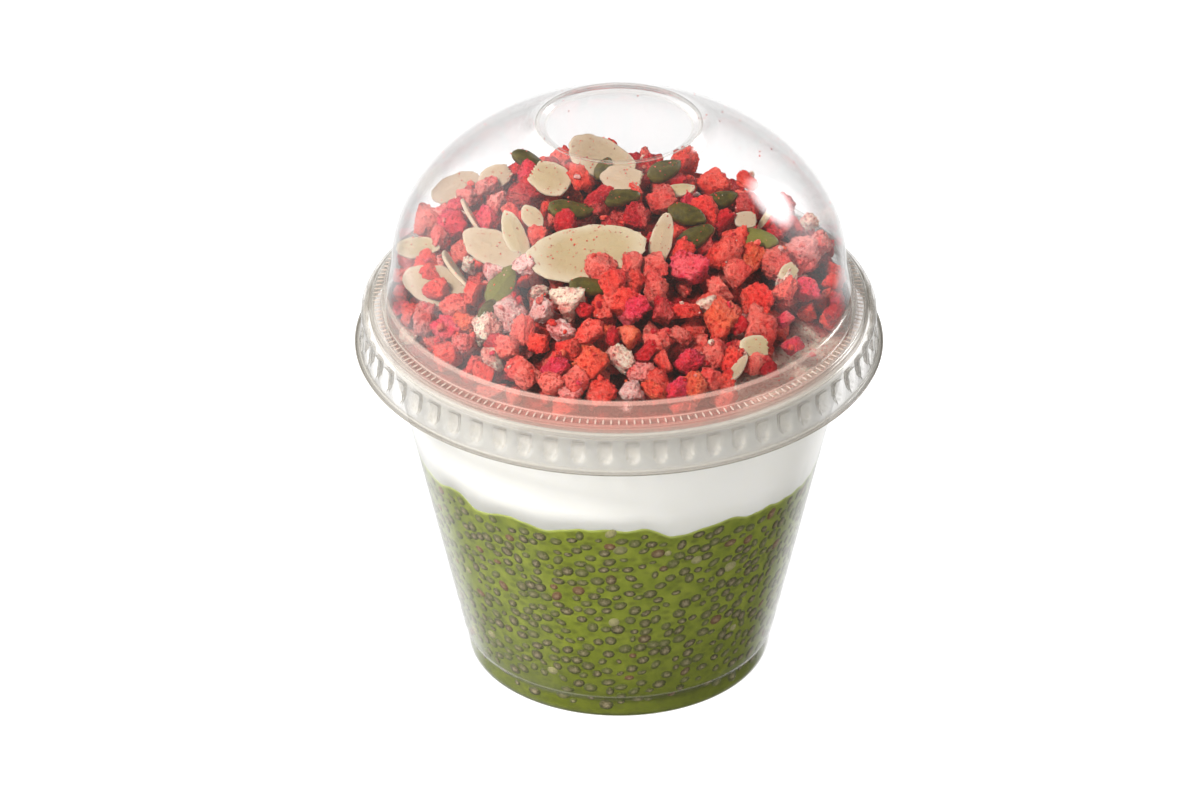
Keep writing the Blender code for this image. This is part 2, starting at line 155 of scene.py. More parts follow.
class Tree:
    """A node tree for a material or for geometry, which adds any node in one call."""

    def __init__(self, tree):
        self.tree = tree
        tree.nodes.clear()

    def add(self, kind, settings=None, sockets=None, output=None):
        node = self.tree.nodes.new(kind)
        for key, value in (settings or {}).items():
            if key == "stops":
                self.set_stops(node.color_ramp, value)
            else:
                setattr(node, key, value)
        for key, value in (sockets or {}).items():
            socket = picked(node.inputs, key)
            if isinstance(value, Socket):
                self.tree.links.new(value.socket, socket)
            elif value is not None:
                socket.default_value = value
        if not node.outputs:
            return None
        if output is None:
            return Socket(self, node, next(s for s in node.outputs if s.enabled))
        return Socket(self, node, picked(node.outputs, output))

    @staticmethod
    def set_stops(ramp, stops):
        while len(ramp.elements) < len(stops):
            ramp.elements.new(1.0)
        for element, (position, color) in zip(ramp.elements, stops):
            element.position = position
            element.color = (*color, 1)

    def place(self):
        """Each point's place on its own piece, in metres."""
        return self.add("ShaderNodeTexCoord", output="Object")

    def parts(self, vector):
        """The X, Y and Z of a vector."""
        node = self.add("ShaderNodeSeparateXYZ", {}, {"Vector": vector})
        return [node.out(axis) for axis in "XYZ"]

    def mix(self, factor, first, second, blend="MIX"):
        """Blends two colours, given as links or as plain red, green and blue."""
        first, second = [c if isinstance(c, Socket) else (*c, 1) for c in (first, second)]
        settings = {"data_type": "RGBA", "blend_type": blend}
        return self.add("ShaderNodeMix", settings, {"Factor": factor, "A": first, "B": second})

    def noise(self, size, detail=2.0, rough=0.5):
        """Noise from 0 to 1 whose blotches are about size metres across."""
        sockets = {"Vector": self.place(), "Scale": 1 / size, "Detail": detail, "Roughness": rough}
        return self.add("ShaderNodeTexNoise", {}, sockets)

    def attribute(self, name, output="Fac"):
        return self.add("ShaderNodeAttribute", {"attribute_name": name}, {}, output)

    def bump(self, height, distance):
        """A Bump node for a height from 0 to 1 that stands for distance metres."""
        return self.add("ShaderNodeBump", {}, {"Height": height, "Distance": distance})

    def principled(self, **sockets):
        named = {key.replace("_", " "): value for key, value in sockets.items()}
        return self.add("ShaderNodeBsdfPrincipled", {}, named)

    def surface(self, shader):
        self.add("ShaderNodeOutputMaterial", {}, {"Surface": shader})


def finish_named(name):
    """A new material and the tree that its nodes go in."""
    made = bpy.data.materials.new(name)
    made.use_nodes = True
    return made, Tree(made.node_tree)


table_white, tree = finish_named("table_white")
sweep = tree.mix(tree.noise(TABLE_CLOUD), *[(grey, grey, grey) for grey in TABLE_GREYS])
tree.surface(tree.principled(
    Base_Color=sweep, Roughness=0.9, Emission_Color=sweep, Emission_Strength=TABLE_GLOW))
bpy.ops.mesh.primitive_plane_add(size=TABLE_SIZE, location=(0, 0, -TABLE_GAP))
table = bpy.context.object
table.name = "table"
table.data.materials.append(table_white)
table.visible_glossy = False

world = bpy.data.worlds.new("studio")
world.use_nodes = True
bpy.context.scene.world = world
tree = Tree(world.node_tree)
ray = tree.add("ShaderNodeTexCoord", output="Generated")
up = tree.parts(ray)[2]


def panel(toward, strength, core, edge):
    """A round soft-edged panel of light on the room's wall."""
    along = tree.add("ShaderNodeVectorMath", {"operation": "DOT_PRODUCT"}, {
        0: ray, 1: Vector(toward).normalized()}, "Value")
    inside = tree.add("ShaderNodeMapRange", {"interpolation_type": "SMOOTHSTEP"}, {
        "Value": along, "From Min": math.cos(math.radians(edge)), "From Max": math.cos(math.radians(core))})
    return inside * strength


room = panel(*LEFT_PANEL) * up.spread(*LEFT_PANEL_FOOT) + ROOM_LIGHT
for entry in PANELS:
    room = room + panel(*entry)
tree.add("ShaderNodeOutputWorld", {}, {"Surface": tree.add("ShaderNodeBackground", {}, {"Color": room})})


# The cup: thin clear plastic, drawn down over a mould, so it is one skin all over: a raised middle in
# a foot ring, a stacking ledge, a straight tapered wall and a rim that is curled outwards.
CUP_WALL = 0.5
WALL_FOOT_RADIUS = 31.15
WALL_SLOPE = 0.2149
WALL_MIDDLE_Z = 40
LEDGE_Z = 5.3
LEDGE_DROP = 0.9
LEDGE_HALF_BAND = 0.3
BASE_SECTION_RADIUS = 30.4
BASE_RADIUS = 25.6
BASE_RISE = 1.8
FOOT_RADII = (27.3, 30.0)
FOOT_TURN = (30.3, 1.1)
RIM_Z = 75.9
RIM_NECK = 1.6
CURL_RADIUS = 0.8
CURL_DEGREES = range(165, -46, -15)
CUP_CORNER = 0.7
CUP_SEGMENTS = 240
SHORTEST_RUN = 0.1
SHARPEST_BEND = 1.2
FILM_HAZE = 0.003
FILM_MILK = (0.72, 0.67, 0.58)
SHADE_LINE_GREY = (0.48, 0.47, 0.45)
FRUIT_LIGHT_PINK = (0.9, 0.4, 0.32)
# in metres: how wide the film's ripples are
FILM_RIPPLE = 0.012


def wall_radius(z):
    """The cup's outer radius above its ledge, in millimetres."""
    return WALL_FOOT_RADIUS + WALL_SLOPE * (z - LEDGE_Z)


def bent(points, reach, steps=4):
    """The line through (radius, height) points with each corner turned into a short curve."""
    line = [Vector(points[0])]
    for before, corner, after in zip(points, points[1:], points[2:]):
        before, corner, after = Vector(before), Vector(corner), Vector(after)
        short = min(reach, 0.45 * (before - corner).length, 0.45 * (after - corner).length)
        start = corner + (before - corner).normalized() * short
        end = corner + (after - corner).normalized() * short
        for step in range(steps + 1):
            t = step / steps
            line.append(start * (1 - t) ** 2 + corner * 2 * t * (1 - t) + end * t ** 2)
    return line + [Vector(points[-1])]


def moved_left(line, wall):
    """The line moved sideways by the wall's thickness, to the left of its own direction."""
    moved = []
    for i, point in enumerate(line):
        run = (line[min(i + 1, len(line) - 1)] - line[max(i - 1, 0)]).normalized()
        moved.append(point + Vector((-run.y, run.x)) * wall)
    for i in (0, -1):
        if line[i].x == 0:
            moved[i].x = 0
    return moved


def skin(line, wall):
    """The outline of a thin skin from the axis out along the line and back inside it."""
    return line + moved_left(line, wall)[::-1]


def plain_mesh(name, points, faces, material):
    """A smooth mesh object from points in millimetres."""
    mesh = bpy.data.meshes.new(name)
    mesh.from_pydata((np.asarray(points) * MM).tolist(), [], faces)
    mesh.shade_smooth()
    mesh.materials.append(material)
    made = bpy.data.objects.new(name, mesh)
    bpy.context.scene.collection.objects.link(made)
    return made


def store(mesh, label, values, kind="FLOAT"):
    """Keeps one value for each point of the mesh, for the materials to read."""
    field = {"FLOAT_VECTOR": "vector", "FLOAT_COLOR": "color"}.get(kind, "value")
    form = np.int32 if kind == "INT" else np.float32
    mesh.attributes.new(label, kind, "POINT").data.foreach_set(field, np.asarray(values, form).ravel())


def polar(mesh):
    """Each point's radius, height and turn, in millimetres and radians."""
    places = np.empty(len(mesh.vertices) * 3)
    mesh.vertices.foreach_get("co", places)
    x, y, z = places.reshape(-1, 3).T / MM
    return np.hypot(x, y), z, np.arctan2(y, x) % math.tau


def lathe(name, line, segments, material, relief=None):
    """Turns a line of (radius, height) round Z, from the axis back to the axis, with an optional relief."""
    line = np.array([tuple(point) for point in line])
    angle = np.arange(segments) * math.tau / segments
    radius, turn = np.meshgrid(line[1:-1, 0], angle, indexing="ij")
    height = np.repeat(line[1:-1, 1:], segments, axis=1)
    if relief:
        radius, height = relief(radius, height, turn)
    rings = np.stack([radius * np.cos(turn), radius * np.sin(turn), height], axis=-1).reshape(-1, 3)
    points = np.vstack([rings, [[0, 0, line[0, 1]], [0, 0, line[-1, 1]]]])
    rows = len(line) - 2
    first_pole, last_pole = rows * segments, rows * segments + 1
    faces = []
    for i in range(segments):
        after = (i + 1) % segments
        faces.append((first_pole, after, i))
        for row in range(0, (rows - 1) * segments, segments):
            faces.append((row + i, row + after, row + segments + after, row + segments + i))
        top = (rows - 1) * segments
        faces.append((last_pole, top + i, top + after))
    return plain_mesh(name, points, faces, material)


def bends(line, segments):
    """How sharply the line bends at each ring of points, from 0 to 1, in the order of lathe's points."""
    sharpness = []
    for before, here, after in zip(line, line[1:], line[2:]):
        run = max((here - before).length + (after - here).length, SHORTEST_RUN)
        sharpness.append(min(1, (here - before).angle(after - here, 0) / run / SHARPEST_BEND))
    return np.append(np.repeat(sharpness, segments), [0, 0])


def clear_plastic(name, tint, ripple_depth, grazing_shade):
    """Clear film: it passes light, greys where it is seen edge on or bends, and mirrors the room; the grey
    is painted shade for the dark lines that refraction makes there. The points' scatter says how much light
    it scatters, a faint real haze and elsewhere painted highlights and sheen; their grey marks how much it
    swallows, as painted shade; and their pink share how much of the scattered light is pink, a painted glow
    of the red fruit inside the lid."""
    made, tree = finish_named(name)

    def shader(kind, color):
        return tree.add("ShaderNodeBsdf" + kind, {}, {"Color": (*color, 1)})

    def mixed(factor, first, second):
        return tree.add("ShaderNodeMixShader", {}, {"Fac": factor, 1: first, 2: second})

    facing = tree.add("ShaderNodeLayerWeight", {}, {"Blend": 0.5}, "Facing")
    ripple = tree.bump(tree.noise(FILM_RIPPLE, 1.0), ripple_depth)
    gloss = tree.add("ShaderNodeBsdfGlossy", {}, {
        "Color": (1, 1, 1, 1), "Roughness": 0.06, "Normal": ripple})
    milky = mixed(0.35, shader("Diffuse", FILM_MILK), shader("Translucent", FILM_MILK))
    # painted light: the pink scattered light stands in for the red fruit inside, seen through the film
    scattered = mixed(tree.attribute("dust"), milky, shader("Diffuse", FRUIT_LIGHT_PINK))
    # painted shade: the film greys at grazing views and on marked lines, for the dark lines that refraction
    # makes there
    grey = facing ** 4 * grazing_shade + tree.attribute("edge") * (1 + facing ** 2 * 8)
    film = mixed(grey, shader("Transparent", tint), shader("Transparent", SHADE_LINE_GREY))
    # painted highlight: the scattered light is a faint real haze, and elsewhere stands in for bright lines
    # and sheen that reflection makes
    film = mixed(tree.attribute("haze"), film, scattered)
    tree.surface(mixed(facing ** 5 * 0.96 + 0.04, film, gloss))
    return made


cup_plastic = clear_plastic("cup_plastic", (0.985, 0.985, 0.985), 0.00008, 0.35)
cup_line = bent(
    [
        (0, BASE_RISE), (BASE_RADIUS, BASE_RISE), (FOOT_RADII[0], 0), (FOOT_RADII[1], 0), FOOT_TURN,
        (BASE_SECTION_RADIUS, LEDGE_Z - LEDGE_DROP), (WALL_FOOT_RADIUS, LEDGE_Z),
        *[(wall_radius(z), z) for z in (WALL_MIDDLE_Z, RIM_Z - RIM_NECK, RIM_Z)],
    ],
    CUP_CORNER,
)
curl_centre = Vector((wall_radius(RIM_Z) + CURL_RADIUS, RIM_Z))
for degrees in CURL_DEGREES:
    spoke = Vector((math.cos(math.radians(degrees)), math.sin(math.radians(degrees))))
    cup_line.append(curl_centre + spoke * CURL_RADIUS)
cup_outline = skin(cup_line, CUP_WALL)
cup = lathe("clear_cup", cup_outline, CUP_SEGMENTS, cup_plastic)
cup_bends = bends(cup_outline, CUP_SEGMENTS)
radius, height, turn = polar(cup.data)
# painted highlight: the film is made milky along the ledge and its bends for the bright lines light makes
# there; the bends also get painted dark lines
ledge_highlight = np.clip(1 - np.abs(height - LEDGE_Z) / LEDGE_HALF_BAND, 0, 1) * (radius > BASE_SECTION_RADIUS)
store(cup.data, "haze", FILM_HAZE + 0.1 * cup_bends + 0.2 * ledge_highlight)
store(cup.data, "edge", 0.15 * cup_bends)
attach(cup, "root")
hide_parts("cup")


# The pudding: a green gel, set in the cup against its wall, with a wavy top where the yogurt was spooned
# on. It reaches just into the plastic, so that no air shows between them.
INTO_WALL = 0.2
# degrees from the front towards the photo's right, and the height of the pudding's edge there
LAYER_LINE = (
    (-120, 48.6), (-90, 47.4), (-63, 47.6), (-50, 49.8), (-44, 47.6), (-31, 49.4),
    (-22, 48.3), (-10, 50.0), (6, 50.0), (16, 47.4), (30, 48.6), (44, 47.4),
    (67, 45.9), (92, 46.8), (130, 48.3), (175, 47.2), (215, 48.9),
)
LAYER_MEAN_Z = 48.2
LAYER_RADII = (38.0, 34.0, 26.0, 14.0)
WALL_MARGIN = 1.0
RIPPLE = 0.5
RIPPLE_PITCH = 0.34
GEL_FOOT = ((27.4, 0.15), (29.75, 0.15), (29.95, 0.9))
GEL_SECTION_Z = (1.8, 3.0, 4.3)
GEL_OVER_LEDGE = (0.1, 0.6)
GEL_RINGS = 44
GEL_SIDE_RADIUS = 28.5
PUDDING_SEGMENTS = 480
GLOW_DEPTH = 0.7
INSIDE_DEPTH = 9.0
SEED_FOOT_Z = 2.0
SEED_TOP_GAP = 1.3
SEED_LEDGE_GAP = (0.2, 0.7)
# in metres: the heights and places across where the gel is shaded, and the pitch of the seeds sunk in it
DARK_FOOT = (0.002, 0.024)
LEDGE_SHADE = ((0.0026, 0.0044), (0.0048, 0.0052))
SHADE_ACROSS = (-0.03, 0.012)
SUNK_SEED_PITCH = 0.0023


def layer_line(turn):
    """Height of the pudding's edge at the wall for an array of angles, with short ripples."""
    stops = np.array(LAYER_LINE)
    azimuth = (np.degrees(turn) + 90 - stops[0, 0]) % 360 + stops[0, 0]
    ends = np.append(stops[:, 0], stops[0, 0] + 360), np.append(stops[:, 1], stops[0, 1])
    left = np.clip(np.searchsorted(ends[0], azimuth, side="right") - 1, 0, len(stops) - 1)
    share = (azimuth - ends[0][left]) / (ends[0][left + 1] - ends[0][left])
    blend = (1 - np.cos(math.pi * share)) / 2
    coarse = ends[1][left] * (1 - blend) + ends[1][left + 1] * blend
    around = [Vector((math.cos(a), math.sin(a), 0)) * wall_radius(LAYER_MEAN_Z) for a in turn[0]]
    fine = np.array([noise.noise(place * RIPPLE_PITCH) for place in around])
    return coarse + RIPPLE * fine


def waved(radius, line):
    """Height of the border between the layers: wavy at the wall and level towards the middle."""
    outward = np.minimum(radius / wall_radius(LAYER_MEAN_Z), 1) ** 3
    return LAYER_MEAN_Z + (line - LAYER_MEAN_Z) * outward


def pudding_relief(radius, height, turn):
    """Stretches the wall's rings up to the wavy line, and waves the top less towards the middle."""
    line = layer_line(turn)
    high = height > LEDGE_Z + GEL_OVER_LEDGE[1]
    share = (height - LEDGE_Z) / (LAYER_MEAN_Z - LEDGE_Z)
    on_wall = high & (radius > wall_radius(height) - WALL_MARGIN)
    height = np.where(on_wall, LEDGE_Z + share * (line - LEDGE_Z), height)
    height = np.where(high & ~on_wall, waved(radius, line), height)
    radius = np.where(on_wall, wall_radius(height) - CUP_WALL + INTO_WALL, radius)
    return radius, height


matcha_gel, tree = finish_named("matcha_gel")
across, _, upward = tree.parts(tree.place())
cloud = tree.noise(0.0028, 4.0, 0.6)
green = tree.mix(cloud.spread(0.3, 0.7), (0.103, 0.127, 0.008), (0.17, 0.195, 0.016))
green = tree.mix((1 - upward.spread(*DARK_FOOT)) * 0.55, green, (0.052, 0.06, 0.002))
flattened = tree.add("ShaderNodeMapping", {}, {"Vector": tree.place(), "Scale": (1, 1, 1.5)})
sunk_seeds = tree.add("ShaderNodeTexVoronoi", {}, {"Vector": flattened, "Scale": 1 / SUNK_SEED_PITCH})
green = tree.mix((1 - sunk_seeds.spread(0.2, 0.5)) * 0.6, green, (0.07, 0.08, 0.01))
glow = 1 - tree.attribute("below_line").spread(0, GLOW_DEPTH)
green = tree.mix(glow * 0.7, green, (0.42, 0.47, 0.12))
shade = upward.spread(*LEDGE_SHADE[0]) * (1 - upward.spread(*LEDGE_SHADE[1]))
green = tree.mix(shade * across.spread(*SHADE_ACROSS) * 0.75, green, (0.035, 0.04, 0.004))
tree.surface(tree.principled(
    Base_Color=green, Roughness=0.35, Subsurface_Weight=0.25, Subsurface_Radius=(1.0, 1.2, 0.4),
    Subsurface_Scale=0.0012, Normal=tree.bump(cloud, 0.0001)))

inner = CUP_WALL - INTO_WALL
pudding_line = [(0, BASE_RISE + inner), (BASE_RADIUS, BASE_RISE + inner), *GEL_FOOT]
pudding_line += [(BASE_SECTION_RADIUS - inner, z) for z in GEL_SECTION_Z]
pudding_line += [(wall_radius(LEDGE_Z) - inner, LEDGE_Z + GEL_OVER_LEDGE[0])]
for share in 1 - (1 - np.linspace(0.02, 1, GEL_RINGS)) ** 1.6:
    z = LEDGE_Z + GEL_OVER_LEDGE[1] + share * (LAYER_MEAN_Z - LEDGE_Z - GEL_OVER_LEDGE[1])
    pudding_line.append((wall_radius(z) - inner, z))
pudding_line += [(radius, LAYER_MEAN_Z) for radius in (*LAYER_RADII, 0)]
pudding = lathe("chia_gel", pudding_line, PUDDING_SEGMENTS, matcha_gel, pudding_relief)
radius, height, turn = polar(pudding.data)
below = layer_line(turn[None, :])[0] - height
on_side = radius > GEL_SIDE_RADIUS
store(pudding.data, "below_line", np.where(on_side, below, INSIDE_DEPTH))
off_ledge = np.abs(height - LEDGE_Z + SEED_LEDGE_GAP[0]) > SEED_LEDGE_GAP[1]
store(pudding.data, "seed_bed", on_side & (below > SEED_TOP_GAP) & (height > SEED_FOOT_Z) & off_ledge)
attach(pudding, "root")
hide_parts("chia_pudding")


# The chia seeds: about twelve hundred swollen seeds pressed flat against the plastic, mostly lying level.
# They are grown on the pudding's side, each an oval with a dark skin and a paler, mottled middle.
SEED_LENGTH = 2.95
SEED_WIDTH = 2.5
SEED_DEPTH = 0.8
SEED_SPACING = 2.02
SEED_SINK = 0.2
SEEDS_PER_SQUARE_METRE = 400000.0
SEED_SWING = 1.5
SEED_TURN = 0.15
LARGEST_SEED = 1.12
SEED_SHRINKING = 0.55
SEED_ROUNDNESS = (0.72, 1.1)


def geometry_tree(name, values):
    """A Geometry Nodes tree with a named input for each value; returns it with a socket for each input."""
    group = bpy.data.node_groups.new(name, "GeometryNodeTree")
    group.is_modifier = True
    group.interface.new_socket("Geometry", in_out="INPUT", socket_type="NodeSocketGeometry")
    for label, value in values.items():
        kind = {float: "Float", int: "Int"}.get(type(value), "Collection")
        group.interface.new_socket(label, in_out="INPUT", socket_type=f"NodeSocket{kind}")
    group.interface.new_socket("Geometry", in_out="OUTPUT", socket_type="NodeSocketGeometry")
    tree = Tree(group)
    given = tree.add("NodeGroupInput")
    return tree, {label: given.out(label) for label in ("Geometry", *values)}


def close_tree(tree, instances, material):
    """Ends a tree: instances are made real and get their material."""
    real = tree.add("GeometryNodeRealizeInstances", {}, {"Geometry": instances})
    coated = tree.add("GeometryNodeSetMaterial", {}, {"Geometry": real, "Material": material})
    tree.add("NodeGroupOutput", {}, {"Geometry": coated})


def grown(name, tree, bed, values):
    """Runs a tree on a bed mesh with named values, and keeps the result as a plain mesh object."""
    grower = bpy.data.objects.new(name, bed)
    bpy.context.scene.collection.objects.link(grower)
    modifier = grower.modifiers.new("grow", "NODES")
    modifier.node_group = tree.tree
    for item in tree.tree.interface.items_tree:
        if item.in_out == "INPUT" and item.name in values:
            modifier[item.identifier] = values[item.name]
    evaluated = grower.evaluated_get(bpy.context.evaluated_depsgraph_get())
    mesh = bpy.data.meshes.new_from_object(evaluated)
    grower.modifiers.remove(modifier)
    grower.data = mesh
    mesh.name = name
    mesh.shade_smooth()
    return grower


def random_value(tree, low, high, number):
    """A value from low to high, drawn for each point by the random draw with that number."""
    return tree.add("FunctionNodeRandomValue", {"data_type": "FLOAT"}, {
        "Min": low, "Max": high, "Seed": number})


def kept_value(tree, name, kind="FLOAT"):
    """A value that is kept with each point."""
    return tree.add("GeometryNodeInputNamedAttribute", {"data_type": kind}, {"Name": name})


def joined(tree, x, y, z):
    """A vector from its three parts."""
    return tree.add("ShaderNodeCombineXYZ", {}, {"X": x, "Y": y, "Z": z})


def spun(tree, rotation, axis, angle):
    """A rotation with one more turn about one of its own axes."""
    spin = tree.add("FunctionNodeAxisAngleToRotation", {}, {"Axis": axis, "Angle": angle})
    return tree.add("FunctionNodeRotateRotation", {"rotation_space": "LOCAL"}, {
        "Rotation": rotation, "Rotate By": spin})


seed_skin, tree = finish_named("seed_skin")
across, along, _ = tree.parts(tree.attribute("seed_place", "Vector"))
reach = (across ** 2 + along ** 2) ** 0.5
mottle = tree.noise(0.00035)
ringed = tree.add("ShaderNodeValToRGB", {"stops": (
    (0.0, (0.235, 0.19, 0.11)), (0.22, (0.145, 0.118, 0.064)), (0.52, (0.086, 0.072, 0.029)),
    (0.74, (0.03, 0.031, 0.008)), (0.98, (0.078, 0.096, 0.011)))}, {"Fac": reach + (mottle - 0.5) * 1.3})
tone = tree.attribute("seed_tone")
tinted = tree.mix(tone.spread(0.965, 0.98) * 0.45, ringed, (0.5, 0.42, 0.22))
tinted = tree.mix((1 - tone.spread(0.05, 0.09)) * 0.4, tinted, (0.17, 0.055, 0.025))
tinted = tree.mix(tone.spread(0.2, 0.8) * 0.4, tinted, (0.09, 0.11, 0.016))
tree.surface(tree.principled(
    Base_Color=tinted, Roughness=0.45, Coat_Weight=0.1, Normal=tree.bump(mottle, 0.00012)))

seed_values = {
    "Length": SEED_LENGTH * MM, "Width": SEED_WIDTH * MM, "Depth": SEED_DEPTH * MM,
    "Spacing": SEED_SPACING * MM, "Sink": SEED_SINK * MM, "Seed": 4}
tree, given = geometry_tree("seeds_on_gel", seed_values)
scattered = tree.add("GeometryNodeDistributePointsOnFaces", {"distribute_method": "POISSON"}, {
    "Mesh": given["Geometry"], "Distance Min": given["Spacing"], "Density Max": SEEDS_PER_SQUARE_METRE,
    "Density Factor": kept_value(tree, "seed_bed"), "Seed": given["Seed"]})
outward = scattered.out("Normal")
level = tree.add("ShaderNodeVectorMath", {"operation": "CROSS_PRODUCT"}, {0: (0, 0, 1), 1: outward})
facing_out = tree.add("FunctionNodeAlignRotationToVector", {"axis": "Z"}, {"Vector": outward})
lying = tree.add("FunctionNodeAlignRotationToVector", {"axis": "X", "pivot_axis": "Z"}, {
    "Rotation": facing_out, "Vector": level})
turned = spun(tree, lying, (0, 0, 1), random_value(tree, -1.0, 1.0, 3) ** 3 * SEED_SWING + SEED_TURN)
ball = tree.add("GeometryNodeMeshIcoSphere", {}, {"Radius": 1.0, "Subdivisions": 2})
marked = tree.add("GeometryNodeStoreNamedAttribute", {"data_type": "FLOAT_VECTOR"}, {
    "Geometry": ball, "Name": "seed_place", "Value": tree.add("GeometryNodeInputPosition")})
grow = LARGEST_SEED - random_value(tree, 0.0, 1.0, 5) ** 2 * SEED_SHRINKING
roundness = random_value(tree, *SEED_ROUNDNESS, 6)
half_size = joined(
    tree, given["Length"] * grow * 0.5, given["Width"] * roundness * grow * 0.5, given["Depth"] * 0.5)
sunk = tree.add("ShaderNodeVectorMath", {"operation": "SCALE"}, {0: outward, "Scale": given["Sink"] * -1})
pressed = tree.add("GeometryNodeSetPosition", {}, {"Geometry": scattered, "Offset": sunk})
seeds = tree.add("GeometryNodeInstanceOnPoints", {}, {
    "Points": pressed, "Instance": marked, "Rotation": turned, "Scale": half_size})
toned = tree.add("GeometryNodeStoreNamedAttribute", {"data_type": "FLOAT", "domain": "INSTANCE"}, {
    "Geometry": seeds, "Name": "seed_tone", "Value": random_value(tree, 0.0, 1.0, 9)})
close_tree(tree, toned, seed_skin)
chia_seeds = grown("chia_seeds", tree, pudding.data, seed_values)
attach(chia_seeds, "root")


# The yogurt: a thick, smooth white layer spooned on the pudding, up to just below the cup's rim.
# Its underside follows the pudding's waves.
YOGURT_WALL_Z = (54, 60, 67, 73.9)
YOGURT_TOP_Z = 74.5
YOGURT_TOP_EDGE = 1.2
YOGURT_TOP_RADIUS = 20
YOGURT_TUCK = 0.05
YOGURT_EASE = 0.03


def yogurt_radius(z):
    """The yogurt's radius against the cup's wall at a height."""
    return wall_radius(z) - inner - YOGURT_EASE


def yogurt_relief(radius, height, turn):
    """Lays the flat underside on the pudding's wavy top."""
    line = layer_line(turn)
    low = height <= LAYER_MEAN_Z
    at_rim = low & (radius > wall_radius(LAYER_MEAN_Z) - WALL_MARGIN)
    height = np.where(low, waved(radius, line) - YOGURT_TUCK, height)
    height = np.where(at_rim, line - YOGURT_TUCK, height)
    radius = np.where(at_rim, yogurt_radius(height), radius)
    return radius, height


yogurt_cream, tree = finish_named("yogurt_cream")
fold = tree.noise(0.012)
white = tree.mix(fold.spread(0.3, 0.7), (0.63, 0.62, 0.58), (0.655, 0.645, 0.61))
tree.surface(tree.principled(
    Base_Color=white, Roughness=0.4, Subsurface_Weight=0.4, Subsurface_Radius=(1.0, 0.9, 0.7),
    Subsurface_Scale=0.002, Normal=tree.bump(fold, 0.0002)))
yogurt_line = [(radius, LAYER_MEAN_Z) for radius in (0, *LAYER_RADII[:0:-1])]
yogurt_line += [(yogurt_radius(z), z) for z in (LAYER_MEAN_Z, *YOGURT_WALL_Z)]
top_radii = (wall_radius(YOGURT_TOP_Z) - YOGURT_TOP_EDGE, YOGURT_TOP_RADIUS, 0)
yogurt_line += [(radius, YOGURT_TOP_Z) for radius in top_radii]
yogurt = lathe("yogurt_layer", yogurt_line, PUDDING_SEGMENTS, yogurt_cream, yogurt_relief)
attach(yogurt, "root")
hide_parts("yogurt")


# The heap's body: crushed dried fruit under the pieces that show. It is a low heap with a mound at the
# back, as the topping is, and is a bed for the loose pieces, so only its crumbs show between them.
HEAP_PEAK_Z = 95.0
HEAP_PEAK_Y = 10.0
HEAP_DROPS = (14.5, 13.5, 12.0)
# the mound's x, y, half width, half depth and rise
HEAP_MOUND = (-6.0, 23.0, 18.0, 20.0, 5.5)
HEAP_RADIUS = 43.0
BED_DEPTH = 6.5
BED_RIM_GAP = 0.4
BED_RIM_RISE = 2.0
BED_RIM_FLARE = 0.1
BED_RIM_EDGE = 0.5
BED_FOOT_RISE = 0.1
BED_LEAST_RISE = 1.0
BED_FIRST_STEP = 0.7
BED_STEP = 1.1
BED_MIDDLE_Z = 91.5
BED_RINGS_Z = 95.0
BED_SEGMENTS = 200
BED_CRUMBS = 1.3
BED_CRUMB_PITCH = 0.45
# the bare strip's two ends, in degrees from the front towards the right, and its inner radius
BARE_STRIP = (30, 76, 36.8)
LID_WALL = 0.5
DOME_RADIUS = 44.03
DOME_RISE = 31.74
DOME_POWER = 1.93
DOME_Z = 86.5
DOME_FOOT = (45.1, 81.5)
# in metres: the pitch of the fruit's pores
PORE_PITCH = 0.001


def dome_radius(z):
    """The dome's outer radius at a height."""
    rise = np.clip((z - DOME_Z) / DOME_RISE, 0, 1)
    taper = (DOME_FOOT[0] - DOME_RADIUS) * np.clip((DOME_Z - z) / (DOME_Z - DOME_FOOT[1]), 0, 1)
    return DOME_RADIUS * (1 - rise ** DOME_POWER) ** (1 / DOME_POWER) + taper


def heap_height(x, y):
    """Height of the heap's top, without its single pieces."""
    front = (np.maximum(0, HEAP_PEAK_Y - y) / (HEAP_PEAK_Y + HEAP_RADIUS)) ** 1.6
    back = (np.maximum(0, y - HEAP_PEAK_Y) / (HEAP_RADIUS - HEAP_PEAK_Y)) ** 2.2
    side = (np.abs(x) / HEAP_RADIUS) ** 2.2
    mound_x, mound_y, half_width, half_depth, rise = HEAP_MOUND
    mound = np.exp(-((x - mound_x) / half_width) ** 2 - ((y - mound_y) / half_depth) ** 2)
    slopes = HEAP_DROPS[0] * front + HEAP_DROPS[1] * back + HEAP_DROPS[2] * side
    return HEAP_PEAK_Z - slopes + rise * mound


def heap_bed(x, y):
    """Height of the bed under the loose pieces."""
    return np.maximum(heap_height(x, y) - BED_DEPTH, YOGURT_TOP_Z + BED_LEAST_RISE)


def bed_relief(radius, height, turn):
    """Lowers the bed's level top to the heap's slope and breaks it into crumbs."""
    x, y = radius * np.cos(turn), radius * np.sin(turn)
    spots = [noise.turbulence(Vector((a, b, 3)) * BED_CRUMB_PITCH, 3, True) for a, b in zip(x.flat, y.flat)]
    crumbs = BED_CRUMBS * (np.array(spots).reshape(x.shape) - 0.6)
    return radius, np.where(height == BED_RINGS_Z, heap_bed(x, y) + crumbs, height)


